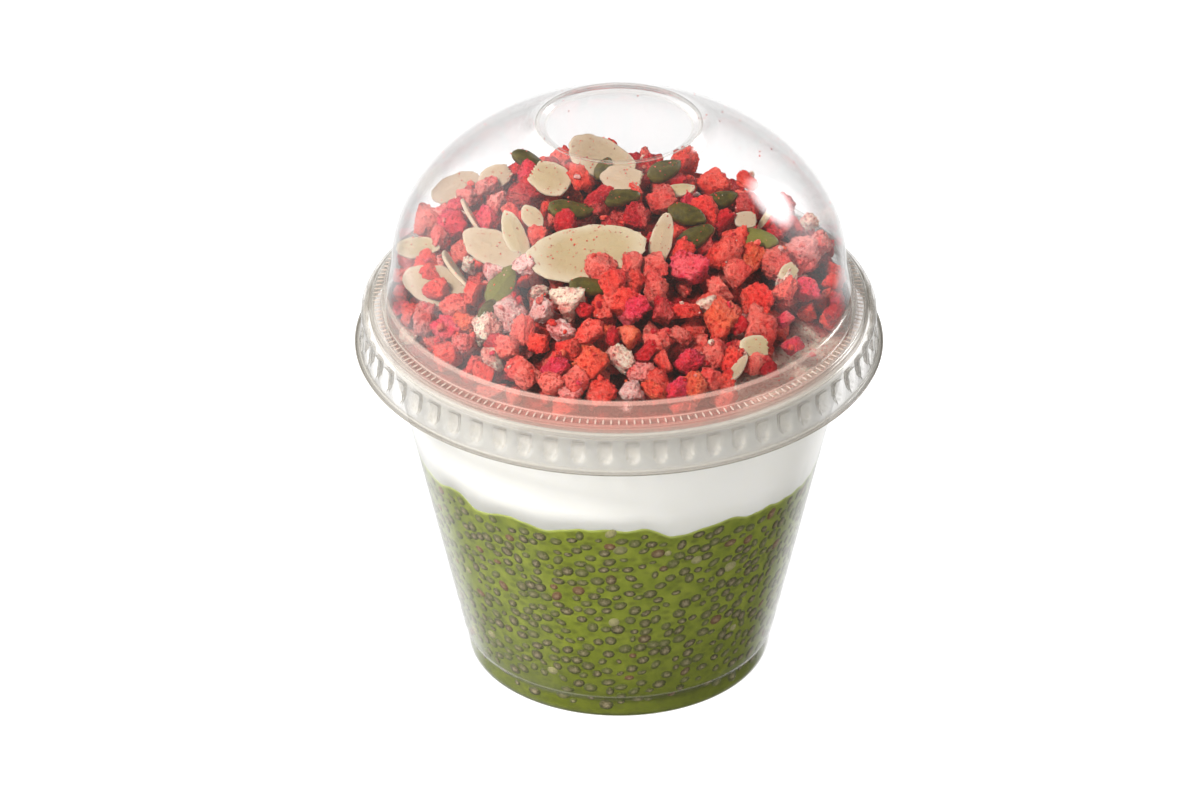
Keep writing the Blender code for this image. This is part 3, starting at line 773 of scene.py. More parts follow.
def fruit_finish(name, tint_from_pieces):
    """Dried fruit: dry, crumbly flesh with paler sugary grains, and darker pits and pores that are painted
    shade in the hollows.
    """
    made, tree = finish_named(name)
    grain = tree.noise(0.0006, 4.0, 0.7)
    pore = tree.add("ShaderNodeTexVoronoi", {}, {
        "Vector": tree.place(), "Scale": 1 / PORE_PITCH, "Randomness": 0.9})
    pore = 1 - (pore + (grain - 0.5) * 0.5).spread(0.16, 0.36)
    blotch = tree.noise(0.0024)
    if tint_from_pieces:
        side = tree.attribute("skin")
        tint = tree.mix(side.spread(0.25, 0.7) * 0.5, tree.attribute("tint", "Color"), (0.85, 0.025, 0.03))
        tint = tree.mix((0 - side).spread(0.3, 0.8) * 0.25, tint, (1.0, 0.33, 0.25))
    else:
        # the crushed fruit's red, darkened as painted shade for the deep gaps between the lumps
        tint = tree.mix(blotch.spread(0.35, 0.65), (0.1, 0.003, 0.004), (0.4, 0.022, 0.018))
        tint = tree.mix(tree.attribute("bare"), tint, (0.8, 0.68, 0.52))
    deep = tree.mix(blotch.spread(0.42, 0.7) * 0.65, tint, (0.95, 0.5, 0.52), "MULTIPLY")
    # painted shade: the flesh is darkened in its pits and pores, as the hollows would be in shade
    pit_shaded = tree.mix(1 - grain.spread(0.38, 0.5), deep, (0.88, 0.5, 0.52), "MULTIPLY")
    sugared = tree.mix(grain.spread(0.52, 0.68) * 0.14, pit_shaded, (1.0, 0.5, 0.4))
    pore_shaded = tree.mix(pore * 0.6, sugared, (0.6, 0.16, 0.18), "MULTIPLY")
    tree.surface(tree.principled(
        Base_Color=pore_shaded, Roughness=0.65, Subsurface_Weight=0.2, Subsurface_Radius=(1.0, 0.15, 0.12),
        Subsurface_Scale=0.0012, Normal=tree.bump(grain - pore * 0.5, 0.0013)))
    return made


bed_finish = fruit_finish("crushed_fruit", False)
bed_rim = wall_radius(YOGURT_TOP_Z) - CUP_WALL - BED_RIM_GAP
bed_foot_z = YOGURT_TOP_Z + BED_FOOT_RISE
bed_steps = (0, *np.arange(BED_FIRST_STEP, bed_rim - 1, BED_STEP))
bed_line = [(0, bed_foot_z), (bed_rim, bed_foot_z), (bed_rim + BED_RIM_FLARE, YOGURT_TOP_Z + BED_RIM_RISE)]
bed_line += [(bed_rim - BED_RIM_EDGE - step, BED_RINGS_Z) for step in bed_steps]
bed_line += [(0, BED_MIDDLE_Z)]
bed_piece = lathe("heap_bed", bed_line, BED_SEGMENTS, bed_finish, bed_relief)
radius, height, turn = polar(bed_piece.data)
azimuth = (np.degrees(turn) + 90) % 360
strip = np.clip(azimuth - BARE_STRIP[0], 0, 1) * np.clip(BARE_STRIP[1] - azimuth, 0, 1)
store(bed_piece.data, "bare", strip * np.clip(radius - BARE_STRIP[2] + 1, 0, 1))
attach(bed_piece, "root")
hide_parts("topping")


# The flat pieces: flaked almonds, thin blanched slices with pale edges, some of them broken, and flat
# green pumpkin seeds. Each lies where the photo shows it, at its own lean, on the fruit beneath.
ALMOND_THICKNESS = 1.0
ALMOND_LIFT = 1.8
PUMPKIN_THICKNESS = 2.0
PUMPKIN_LIFT = 1.4
FLAT_SIDES = 64
FLAT_RINGS = 9
RIM_ROUNDING = 0.35
RIDGE_HEIGHT = 0.12
RIDGE_HALF_WIDTH = 0.8
FLAT_BEND = 0.006
FLAT_WARP = 0.5
WARP_PITCH = 0.12
# x, y, turn about the vertical, lean to front, lean to side, length, width, share kept clear, broken at
ALMONDS = (
    (-5.8, -10.3, 12, 26, 0, 23.8, 13.4, 0.92, 1.0), (-2.9, 13.4, -24, 40, 8, 15.6, 9.6, 0.3, 0.75),
    (-13.8, 10.2, 150, 30, 0, 9.5, 8.3, 0.25, 0.7), (1.2, 8.6, -8, 24, 0, 10.0, 7.0, 0.3, 0.6),
    (8.1, -6.7, 80, 60, 4, 10.8, 4.6, 0.9, 1.0), (-20, -3.1, 118, 40, 10, 10.8, 4.8, 0.6, 1.0),
    (-24.4, -4.7, 152, 34, 0, 12.4, 8.4, 0.8, 1.0), (-30.6, -9.2, -70, -17, 48, 16.0, 6.6, 0.85, 1.0),
    (-32.1, 24, 30, 34, 0, 10.2, 6.3, 0.2, 1.0), (-35.4, -9.2, 166, 40, 4, 12.6, 9.0, 0.1, 1.0),
    (-39, 4.1, 6, 34, 0, 8.6, 5.2, 0.8, 1.0), (-24, 18, 24, 40, 0, 7.4, 5.2, 0.2, 0.8),
    (-16.8, 0.7, 130, 40, 0, 5.6, 4.2, 0.8, 1.0), (26.2, -28.8, 18, 36, 14, 7.0, 5.2, 0.9, 0.6),
    (22.5, -34.9, 58, 30, 0, 6.4, 2.4, 0.9, 1.0), (32.7, -7.1, 60, 40, 20, 5.0, 3.6, 0.8, 0.7),
    (24.7, 3.9, 10, 34, 10, 5.2, 4.0, 0.6, 0.7), (28.6, 7.3, 56, 50, 0, 6.4, 1.5, 0.8, 1.0),
    (11.8, 8.3, 12, 10, 0, 6.0, 4.0, 0.8, 1.0), (-28.7, 6.5, -66, -14, 62, 9.5, 4.4, 0.8, 1.0),
)
PUMPKIN_SEEDS = (
    (26.6, -0.6, -14, 26, 0, 9.0, 5.2, 0.9, 1.0), (-22.5, -15.2, 70, 38, 12, 9.6, 6.2, 0.8, 1.0),
    (14.8, -4, 20, 34, -12, 8.0, 5.0, 0.4, 1.0), (-9.3, 1.2, 6, 22, 10, 9.0, 5.2, 0.4, 1.0),
    (-17.8, 20.5, -24, 34, 0, 6.6, 3.6, 0.4, 1.0), (8.8, 14.2, 40, 24, 10, 8.0, 4.8, 0.3, 1.0),
    (13.1, 1.6, -30, 24, -8, 8.2, 5.0, 0.25, 1.0), (-2.9, 11.5, 70, 24, 0, 5.6, 4.0, 0.3, 1.0),
    (0.4, 4, 6, 20, 0, 7.6, 4.4, 0.2, 1.0), (-5.3, -18.4, -10, 20, 0, 8.6, 4.4, 0.5, 1.0),
    (-25.1, -20.2, 60, 40, 0, 5.0, 3.4, 0.3, 1.0), (20, 9.2, 20, 20, 0, 6.4, 4.0, 0.2, 1.0),
)


def flat_frame(entry, lift):
    """The matrix that lays a flat piece at its place, turn and lean, in millimetres."""
    x, y, turn, lean_front, lean_side = entry[:5]
    lean = Euler((math.radians(lean_front), math.radians(lean_side), 0)).to_matrix()
    spin = Matrix.Rotation(math.radians(turn), 3, "Z")
    return Matrix.Translation((x, y, float(heap_height(x, y)) + lift)) @ (lean @ spin).to_4x4()


def flat_outline(entry, taper, number, angle):
    """A point on the piece's wavy outline, pulled in to a ragged straight edge where it is broken off."""
    length, width, _, broken = entry[5:]
    way = Vector((math.cos(angle) * 1.6, math.sin(angle) * 1.6, number * 3.7))
    ragged = 1 + 0.08 * noise.noise(way) + 0.05 * noise.noise(way * 3)
    across = math.sin(angle) * (1 - taper * (1 + math.cos(angle)) / 2)
    point = Vector((math.cos(angle) * length / 2, across * width / 2)) * ragged
    limit = broken * length / 2 * (1 + 0.25 * noise.noise(way * 4))
    if broken < 1 and point.x > limit:
        point *= limit / point.x
    return point


def flat_piece(entry, thickness, taper, crown, number):
    """Points and faces of one thin piece: two slightly bent faces with a rounded rim between them."""
    points, faces = [], []
    for face in (-1, 1):
        for ring in range(FLAT_RINGS, -1, -1):
            share = math.sin(ring / FLAT_RINGS * math.pi / 2)
            edge = math.cos(ring / FLAT_RINGS * math.pi / 2) ** RIM_ROUNDING
            swell = edge * (1 + crown * (1 - share ** 2))
            for i in range(FLAT_SIDES if ring else 1):
                x, y = flat_outline(entry, taper, number, math.tau * i / FLAT_SIDES) * share
                ridge = 0
                if face > 0:
                    ridge = RIDGE_HEIGHT * max(0, 1 - abs(y) / RIDGE_HALF_WIDTH) * (1 - share)
                warp = noise.noise(Vector((x * WARP_PITCH, y * WARP_PITCH, number * 2.1)))
                bend = FLAT_BEND * x * x + FLAT_WARP * warp
                points.append((x, y, face * thickness / 2 * swell + bend + ridge))
    half = FLAT_RINGS * FLAT_SIDES + 1
    for i in range(FLAT_SIDES):
        after = (i + 1) % FLAT_SIDES
        for face, start in ((-1, 0), (1, half)):
            inmost = start + (FLAT_RINGS - 1) * FLAT_SIDES
            for row in range(start, inmost, FLAT_SIDES):
                faces.append((row + i, row + after, row + FLAT_SIDES + after, row + FLAT_SIDES + i)[::face])
            faces.append((inmost + i, inmost + after, start + half - 1)[::face])
        faces.append((i, half + i, half + after, after)[::-1])
    return points, faces


def flat_pieces(name, entries, thickness, lift, taper, crown, material):
    """All slices or seeds of one kind as one mesh, with each point's place on its own piece kept."""
    all_points, all_faces, on_piece = [], [], []
    for number, entry in enumerate(entries):
        points, faces = flat_piece(entry, thickness, taper, crown, number)
        laid = flat_frame(entry, lift)
        start = len(all_points)
        all_points += [tuple(laid @ Vector(point)) for point in points]
        all_faces += [tuple(start + i for i in face) for face in faces]
        on_piece += [(x / entry[5] * 2, y / entry[6] * 2, number) for x, y, _ in points]
    made = plain_mesh(name, all_points, all_faces, material)
    store(made.data, "on_piece", on_piece, "FLOAT_VECTOR")
    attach(made, "root")
    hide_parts("topping")
    return made


almond_flesh, tree = finish_named("almond_flesh")
across, along, number = tree.parts(tree.attribute("on_piece", "Vector"))
reach = (across ** 2 + along ** 2) ** 0.5
streak = tree.noise(0.003, 3.0)
cream = tree.mix(reach.spread(0.6, 0.95), (0.37, 0.285, 0.155), (0.48, 0.40, 0.28))
own = (number * 0.618).maths("FRACT")
cream = tree.mix(own.spread(0.1, 0.9) * 0.6, cream, (0.44, 0.315, 0.24))
cream = tree.mix(streak.spread(0.4, 0.75) * 0.35, cream, (0.43, 0.31, 0.2))
fleck = tree.noise(0.0006, 1.0)
cream = tree.mix(fleck.spread(0.68, 0.74) * 0.8, cream, (0.3, 0.06, 0.03))
tree.surface(tree.principled(
    Base_Color=cream, Roughness=0.5, Subsurface_Weight=0.2, Subsurface_Radius=(1.0, 0.7, 0.4),
    Subsurface_Scale=0.001, Normal=tree.bump(streak, 0.0003)))
almonds = flat_pieces("almond_slices", ALMONDS, ALMOND_THICKNESS, ALMOND_LIFT, 0.2, 0.0, almond_flesh)

pumpkin_skin, tree = finish_named("pumpkin_skin")
across, along, number = tree.parts(tree.attribute("on_piece", "Vector"))
reach = (across ** 2 + along ** 2) ** 0.5
streak = tree.noise(0.0012, 3.0)
olive = tree.mix(streak.spread(0.3, 0.7), (0.028, 0.021, 0.002), (0.085, 0.066, 0.007))
ripeness = 1 - number.spread(1.0, 2.0)
olive = tree.mix(ripeness * 0.7, olive, (0.17, 0.16, 0.035))
olive = tree.mix(reach.spread(0.75, 1.0) * 0.5, olive, (0.14, 0.115, 0.03))
tree.surface(tree.principled(Base_Color=olive, Roughness=0.42, Normal=tree.bump(streak, 0.0003)))
pumpkins = flat_pieces(
    "pumpkin_seeds", PUMPKIN_SEEDS, PUMPKIN_THICKNESS, PUMPKIN_LIFT, 0.35, 0.35, pumpkin_skin)


# The fruit: freeze-dried strawberry broken into angular lumps of 4 to 8 mm, from coral red to cream.
# A first layer is dropped on the bed. The large ones that the photo shows lie on it, and more fill the gaps.
LUMP_SHAPES = 14
LUMP_CUTS = 10
FIRST_LUMP_DRAW = 300
LUMP_TILT = 0.22
LUMP_SIDES = (0.28, 0.44)
CHIP_COUNT = 5
CHIP_SIDES = (0.3, 0.46)
LUMP_REACH = 0.6
LUMP_SHARPNESS = 18
ROUND_SHARPNESS = 6
SHARD_STRETCH = (1.3, 1.8)
SHARD_THINNING = (0.5, 0.72)
# depth and pitch of a lump's coarse, middle and fine roughness
LUMP_ROUGHNESS = ((0.15, 1.7), (0.16, 5), (0.13, 11))
LOWER_COUNT = 190
LOWER_LIFT = -2.0
UPPER_COUNT = 260
UPPER_RING = 88
UPPER_LIFT = 0.5
LUMP_SIZES = (4.0, 8.0)
LUMP_TRIES = 40
LUMP_CONTACT = 0.8
# shares of a lump's size: its foot under its middle, its height that counts over the slope, and its side
LUMP_FOOT = 0.3
LUMP_OVER = 0.25
LUMP_SIDE = 0.45
SHOWN_SIDE = 0.46
SHOWN_RADIUS = 0.54
FLAT_DEPTH = 0.42
FLAT_MARGIN = 1.15
RING_Z = 80
RING_GAP = 0.8
HEAP_OVERLAP = 1.12
CRUMB_SHAPES = 8
CRUMB_CUTS = 2
CRUMB_COUNT = 520
CRUMB_SINK = 0.3
CRUMB_RADII = (0.15, 0.9)
CRUMB_LEAST_SLOPE = 0.2
SLICE_SPECKS = 900
SLICE_SPECK_RADII = (0.07, 0.2)
SPECK_COUNT = 80
SPECK_RADII = (0.08, 0.2)
SPECK_HEIGHTS = (0.25, 0.93)
SPECK_GAP = (0.12, 0.1)
ABOVE_LID = 120
FRUIT_TINTS = (
    (0.30, (1.0, 0.08, 0.05)), (0.22, (1.0, 0.19, 0.14)), (0.17, (0.58, 0.01, 0.022)),
    (0.08, (0.85, 0.045, 0.1)), (0.07, (1.0, 0.34, 0.29)), (0.04, (1.0, 0.84, 0.64)),
    (0.04, (1.0, 0.68, 0.6)), (0.06, (1.0, 0.17, 0.07)),
)
ANY_TINT = -1
DEEP_TINT = 2
DEEP_SHARE = 0.6
DEEP_FROM_Y = 4
PHOTO_HEIGHT = 800
# along a line of sight, from and to where the heap is looked for past the aim, and the step
SIGHT_REACH = (-80, 120, 0.05)
SIGHT_MARGIN = 4
STEP_INWARDS = 0.995
REST_LIFT = 0.2
# pixels from the photo's left and top, size, tint, and the lift over the heap's slope of a higher lump
SHOWN_LUMPS = (
    (527, 194, 6.5, 2), (583, 178, 6.5, 0), (601, 201, 7, 2), (492, 187, 4.5, 4), (496, 203, 5, 4),
    (488, 219, 5.5, 3), (509, 211, 4, 1), (454, 224, 7, 3), (440, 237, 5, 4), (421, 226, 7.5, 1),
    (538, 237, 5.5, 0), (566, 226, 6, 2), (552, 219, 3.6, 1), (523, 265, 4.8, 6, 3.2),
    (493, 273, 4.8, 6, 3), (606, 268, 5.6, 1, 1.8), (430, 270, 7, 0, 2.4), (438, 290, 6.2, 0, 2),
    (410, 275, 5.2, 1, 1.6), (473, 292, 6, 0, 2), (420, 326, 7.4, 4), (447, 330, 6.8, 3), (457, 309, 6, 1),
    (467, 323, 5.4, 7), (485, 330, 6.2, 5), (507, 311, 7.2, 6), (543, 312, 6, 6), (571, 301, 7.4, 5),
    (560, 331, 5.6, 6), (588, 333, 6, 0), (602, 307, 5.4, 0), (524, 331, 6.4, 1), (508, 348, 6, 1),
    (540, 342, 4.6, 0), (520, 371, 7, 1), (569, 349, 5.4, 0), (491, 360, 5.2, 5), (465, 344, 5, 4),
    (447, 357, 6, 0), (475, 366, 5, 1), (556, 367, 6.4, 3), (592, 363, 7.6, 7), (576, 383, 6.4, 1),
    (551, 384, 5.4, 1), (570, 398, 5, 4), (603, 394, 6.2, 0), (620, 360, 6.4, 5), (685, 162, 6.4, 0),
    (716, 183, 6.5, 0), (748, 183, 5.5, 0), (662, 201, 6.8, 1), (686, 201, 4.8, 3), (705, 212, 7.8, 0),
    (745, 208, 7, 2), (727, 222, 6.4, 2), (637, 216, 6.4, 2), (635, 195, 5, 0), (682, 253, 5.4, 0),
    (721, 255, 7.2, 0), (739, 241, 6.2, 0), (751, 258, 6, 7), (736, 273, 5.8, 1), (692, 270, 7.8, 3),
    (775, 262, 8, 1), (803, 254, 7.6, 4), (652, 266, 6, 1, 0.6), (630, 280, 7.2, 0), (655, 287, 6, 1),
    (788, 281, 4.8, 5), (806, 287, 6, 3), (633, 310, 7, 3), (664, 312, 6.4, 2), (688, 311, 6.2, 0),
    (717, 289, 6, 1), (708, 304, 4.5, 5), (719, 321, 7.6, 7), (755, 298, 6.8, 0), (786, 291, 5.4, 1),
    (736, 326, 4.6, 2), (758, 328, 8, 1), (658, 342, 6, 1), (681, 335, 5.4, 1), (713, 355, 6.4, 1),
    (733, 361, 6.2, 0), (754, 365, 5.5, 1), (690, 365, 6, 3), (664, 364, 5.4, 0), (660, 381, 5, 0),
    (677, 391, 5.4, 3), (707, 380, 5.2, 1), (656, 397, 5.8, 7), (640, 373, 5.4, 4), (632, 391, 5, 6),
    (646, 353, 5.4, 2), (629, 335, 5, 7), (794, 347, 4.6, 3), (775, 376, 4.6, 2), (730, 388, 5, 0),
    (700, 398, 5.6, 7), (612, 340, 4.6, 2), (478, 378, 4.6, 0), (495, 341, 4.4, 2), (583, 309, 4.6, 2),
    (820, 243, 5.4, 4), (598, 268, 6, 1, 3), (614, 284, 6.5, 0, 2.5), (632, 264, 6, 1, 2.5),
    (622, 301, 6.5, 0, 1), (579, 177, 5.5, 0, 3.5), (488, 184, 4.5, 4, 2), (432, 268, 6.5, 4, 2.5),
    (455, 206, 4.5, 3, 0.5), (441, 215, 5, 4, 0.5), (470, 197, 5, 4, 0.5), (700, 240, 6, 2),
)
draw = random.Random(21)


def lump_shape(number, cuts):
    """One lump, 1 unit long: a rough dice with chipped corners, a shard, or a rounder seedy piece."""
    cutter = random.Random(FIRST_LUMP_DRAW + number)
    turned = Euler([cutter.uniform(0, math.tau) for _ in range(3)]).to_matrix()
    planes = []
    for axis in (Vector((1, 0, 0)), Vector((0, 1, 0)), Vector((0, 0, 1))):
        for side in (-1, 1):
            tilt = Vector([cutter.gauss(0, LUMP_TILT) for _ in range(3)])
            planes.append(((axis * side + tilt).normalized(), cutter.uniform(*LUMP_SIDES)))
    for _ in range(CHIP_COUNT):
        chip = Vector([cutter.gauss(0, 1) for _ in range(3)]).normalized()
        planes.append((chip, cutter.uniform(*CHIP_SIDES)))
    sharp = ROUND_SHARPNESS if number % 6 == 5 else LUMP_SHARPNESS
    long = cutter.uniform(*SHARD_STRETCH) if number % 4 == 3 else 1.0
    thin = cutter.uniform(*SHARD_THINNING) if number % 3 == 1 else 1.0
    bm = bmesh.new()
    bmesh.ops.create_cube(bm, size=1)
    bmesh.ops.subdivide_edges(bm, edges=bm.edges, cuts=cuts, use_grid_fill=True)
    away = Vector((number * 7, 0, 0))
    skin_side = Vector([cutter.gauss(0, 1) for _ in range(3)]).normalized()
    skin_layer = bm.verts.layers.float.new("skin")
    for vert in bm.verts:
        ray = vert.co.normalized()
        reach = [max(ray.dot(normal), 1e-3) / far for normal, far in planes] + [1 / LUMP_REACH]
        distance = sum(value ** sharp for value in reach) ** (-1 / sharp)
        rough = sum(depth * noise.noise(ray * pitch + away) for depth, pitch in LUMP_ROUGHNESS)
        vert[skin_layer] = ray.dot(skin_side) + 0.8 * noise.noise(ray * 2.3 - away)
        vert.co = turned @ (ray * distance * (1 + rough) * Vector((long, 1, thin)))
    corners = [vert.co for vert in bm.verts][::5]
    longest = max((corner - other).length for corner in corners for other in corners)
    bmesh.ops.scale(bm, vec=[1 / longest] * 3, verts=bm.verts)
    mesh = bpy.data.meshes.new(f"lump_{number}")
    bm.to_mesh(mesh)
    bm.free()
    return bpy.data.objects.new(f"lump_{number:02d}", mesh)


def is_bare(x, y):
    """True on the strip at the right front that the topping leaves bare, along the cup's rim."""
    first, last, inmost = BARE_STRIP
    return first < math.degrees(math.atan2(x, -y)) < last and math.hypot(x, y) > inmost


flat_spaces = []
for entries, lift in ((ALMONDS, ALMOND_LIFT), (PUMPKIN_SEEDS, PUMPKIN_LIFT)):
    for entry in entries:
        length, width, clear, _ = entry[5:]
        clear *= FLAT_MARGIN
        flat_spaces.append((length * clear, width * clear, flat_frame(entry, lift).inverted()))


def crosses_flat(place, size):
    """True if a lump at a place would cut through the clear middle of one of the flat pieces."""
    for length, width, back in flat_spaces:
        local = back @ place
        inside = (local.x * 2 / length) ** 2 + (local.y * 2 / width) ** 2 < 1
        if inside and abs(local.z) < FLAT_DEPTH * size + ALMOND_THICKNESS / 2:
            return True
    return False


def dropped(balls, count, ring, lift):
    """Adds lumps that each rest on those beneath, up to a lift over the heap's slope, first in a ring."""
    smallest, largest = LUMP_SIZES
    for number in range(count):
        best = None
        size = smallest + (largest - smallest) * draw.random() ** 1.6
        rim = float(dome_radius(RING_Z)) - RING_GAP - SHOWN_SIDE * size
        for _ in range(LUMP_TRIES):
            angle = draw.uniform(0, math.tau)
            reach = rim if number < ring else min(HEAP_RADIUS * HEAP_OVERLAP * math.sqrt(draw.random()), rim)
            x, y = reach * math.cos(angle), reach * math.sin(angle)
            z = float(heap_bed(x, y)) + LUMP_FOOT * size
            apart = np.hypot(balls[:, 0] - x, balls[:, 1] - y)
            touch = (balls[:, 3] + size / 2) * LUMP_CONTACT
            near = apart < touch
            if near.any():
                z = max(z, float((balls[near, 2] + np.sqrt(touch[near] ** 2 - apart[near] ** 2)).max()))
            over = z + LUMP_OVER * size - float(heap_height(x, y)) - lift
            outside = reach + LUMP_SIDE * size > float(dome_radius(z + LUMP_FOOT * size)) - LID_WALL
            if outside or over > 0 or is_bare(x, y) or crosses_flat(Vector((x, y, z)), size):
                continue
            if best is None or over < best[0]:
                best = (over, x, y, z, size / 2)
        if best:
            tint = DEEP_TINT if best[2] > DEEP_FROM_Y and draw.random() < DEEP_SHARE else ANY_TINT
            balls = np.vstack([balls, (*best[1:], tint)])
    return balls


def on_heap(across, down, size, lift):
    """The place of a lump whose middle the photo shows at a pixel: on the heap's slope, in the lid."""
    view_up = Vector((0, math.sin(CAMERA_ELEVATION), math.cos(CAMERA_ELEVATION)))
    sight = view_up * ((PHOTO_HEIGHT / 2 - down) / FOCAL_PIXELS) - view_back
    sight.x = (across - PHOTO_WIDTH / 2 - AXIS_PIXELS) / FOCAL_PIXELS
    steps = CAMERA_DISTANCE / MM + np.arange(*SIGHT_REACH)
    x, y, z = np.outer(sight, steps) + np.array(camera.location)[:, None] / MM
    met = np.argmax((np.hypot(x, y) < HEAP_RADIUS + SIGHT_MARGIN) & (z < heap_height(x, y) + lift))
    x, y = float(x[met]), float(y[met])
    while True:
        top = heap_height(x, y) + lift + LUMP_FOOT * size
        if math.hypot(x, y) + SHOWN_SIDE * size <= dome_radius(top) - LID_WALL:
            return x, y, float(heap_height(x, y)) + lift
        x, y = STEP_INWARDS * x, STEP_INWARDS * y


balls = dropped(np.zeros((0, 5)), LOWER_COUNT, 0, LOWER_LIFT)
for across, down, size, tint, *lifts in SHOWN_LUMPS:
    lift = lifts[0] if lifts else REST_LIFT
    balls = np.vstack([balls, (*on_heap(across, down, size, lift), size * SHOWN_RADIUS, tint)])
balls = dropped(balls, UPPER_COUNT, UPPER_RING, UPPER_LIFT)


def shape_set(name, count, cuts):
    """A collection of lump shapes for the tree to pick from."""
    shapes = bpy.data.collections.new(name)
    for number in range(count):
        shapes.objects.link(lump_shape(number, cuts))
    return shapes


lump_shapes = shape_set("lump_shapes", LUMP_SHAPES, LUMP_CUTS)
crumb_shapes = shape_set("crumb_shapes", CRUMB_SHAPES, CRUMB_CUTS)
lump_tree, given = geometry_tree("lumps_on_points", {"Shapes": lump_shapes})
options = lump_tree.add("GeometryNodeCollectionInfo", {}, {
    "Collection": given["Shapes"], "Separate Children": True, "Reset Children": True})
turned = lump_tree.add("FunctionNodeEulerToRotation", {}, {
    "Euler": kept_value(lump_tree, "turn", "FLOAT_VECTOR")})
lumps = lump_tree.add("GeometryNodeInstanceOnPoints", {}, {
    "Points": given["Geometry"], "Instance": options, "Pick Instance": True,
    "Instance Index": kept_value(lump_tree, "kind", "INT"), "Rotation": turned,
    "Scale": kept_value(lump_tree, "size")})
close_tree(lump_tree, lumps, fruit_finish("dried_fruit", True))


def drawn_tint(number):
    """One of the fruit's shades, by number or drawn, made a little lighter or darker."""
    if number == ANY_TINT:
        number = draw.choices(range(len(FRUIT_TINTS)), [weight for weight, _ in FRUIT_TINTS])[0]
    light = draw.uniform(0.86, 1.06)
    return [min(1.0, value * light) for value in FRUIT_TINTS[int(number)][1]] + [1.0]


def drop_pieces(name, balls, shapes):
    """Real lumps, crumbs or specks in the places of the dropped balls."""
    bed = bpy.data.meshes.new(name + "_points")
    bed.from_pydata((balls[:, :3] * MM).tolist(), [], [])
    store(bed, "kind", [draw.randrange(len(shapes.objects)) for _ in balls], "INT")
    store(bed, "turn", [[draw.uniform(0, math.tau) for _ in range(3)] for _ in balls], "FLOAT_VECTOR")
    store(bed, "size", balls[:, 3] * 2 * MM)
    store(bed, "tint", [drawn_tint(ball[4]) for ball in balls], "FLOAT_COLOR")
    made = grown(name, lump_tree, bed, {"Shapes": shapes})
    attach(made, "root")
    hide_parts("topping")
    return made


order = np.argsort(balls[:, 1])
fruit = [drop_pieces(f"fruit_lumps_{number + 1}", balls[part], lump_shapes)
         for number, part in enumerate(np.array_split(order, 4))]

corners, faces = [], []
for piece in (almonds, pumpkins, *fruit, bed_piece):
    start = len(corners)
    corners += [vert.co / MM for vert in piece.data.vertices]
    faces += [[start + i for i in face.vertices] for face in piece.data.polygons]
heap_surface = BVHTree.FromPolygons(corners, faces)
slice_faces = len(almonds.data.polygons) + len(pumpkins.data.polygons)
smallest, largest = CRUMB_RADII
crumbs = []
for number in range(CRUMB_COUNT + SLICE_SPECKS):
    angle, reach = draw.uniform(0, math.tau), HEAP_RADIUS * math.sqrt(draw.random())
    above = Vector((reach * math.cos(angle), reach * math.sin(angle), ABOVE_LID))
    place, normal, hit, _ = heap_surface.ray_cast(above, Vector((0, 0, -1)))
    if not place or normal.z < CRUMB_LEAST_SLOPE:
        continue
    on_slice = hit < slice_faces
    if on_slice:
        radius = draw.uniform(*SLICE_SPECK_RADII)
    else:
        radius = smallest + (largest - smallest) * draw.random() ** 2.5
    if on_slice or number < CRUMB_COUNT:
        crumbs.append((*(place + normal * CRUMB_SINK * radius), radius, ANY_TINT))
for _ in range(SPECK_COUNT):
    angle, z = draw.uniform(0, math.tau), DOME_Z + DOME_RISE * draw.uniform(*SPECK_HEIGHTS)
    inside = float(dome_radius(z)) - LID_WALL - SPECK_GAP[0]
    radius = draw.uniform(*SPECK_RADII)
    crumbs.append((inside * math.cos(angle), inside * math.sin(angle), z - SPECK_GAP[1], radius, ANY_TINT))
drop_pieces("fruit_crumbs", np.array(crumbs), crumb_shapes)
for shapes in (lump_shapes, crumb_shapes):
    for shape in list(shapes.objects):
        bpy.data.objects.remove(shape)
    bpy.data.collections.remove(shapes)


# The lid: a clear dome with a shallow recess on top, a stepped shoulder, and a skirt with sixty short
# flutes that clip under the cup's rim. It is one skin of plastic, formed over a mould.
RECESS = (14.1, 115.9)
CREST = (16.05, 116.8)
CREST_FLAT = 0.75
CREST_TURN = 0.05
DOME_TOP_Z = 115.6
BAND_TOP = (45.6, 81.2)
SHELF = ((45.95, 78.4), (47.9, 78.1))
STEP = (48.35, 77.55)
SKIRT_TOP = ((48.85, 77.4), (49.5, 77.1))
SKIRT_RADIUS = 50.2
SKIRT_INMOST = 48.3
LIP = ((50.6, 69.55), (51.4, 69.5), (51.5, 69.4))
FLUTES = 60
FLUTE_SPAN = (70.6, 75.4)
FLUTE_HALF_WIDTH = 1.45
FLUTE_DEPTH = 1.0
FLUTE_EDGE = 0.45
# shares of a flute's height: its rounded foot, and the slopes at its lower and upper end
FLUTE_ROUNDING = 0.5
FLUTE_ENDS = (0.1, 0.08)
SKIRT_SPAN = (76.2, 70.2)
SKIRT_MIDDLE_Z = 74.9
SKIRT_FLARE = 0.08
SKIRT_RINGS = 15
DOME_RINGS = 18
LID_CORNERS = (0.25, 0.3)
LID_SEGMENTS = 600
# heights where the film gets painted highlights and painted shade, and radii with them for the painted dark
# lines at the step and the crest
LIP_TOP_Z = 69.65
SKIRT_TOP_Z = 76.6
SHOULDER_SPAN = (77.3, 81.6)
CROWN_FOOT_Z = 115.3
STEP_LINE = (77.45, 77.95, 47.6)
CREST_LINE = (116.6, 15.65, 16.15)


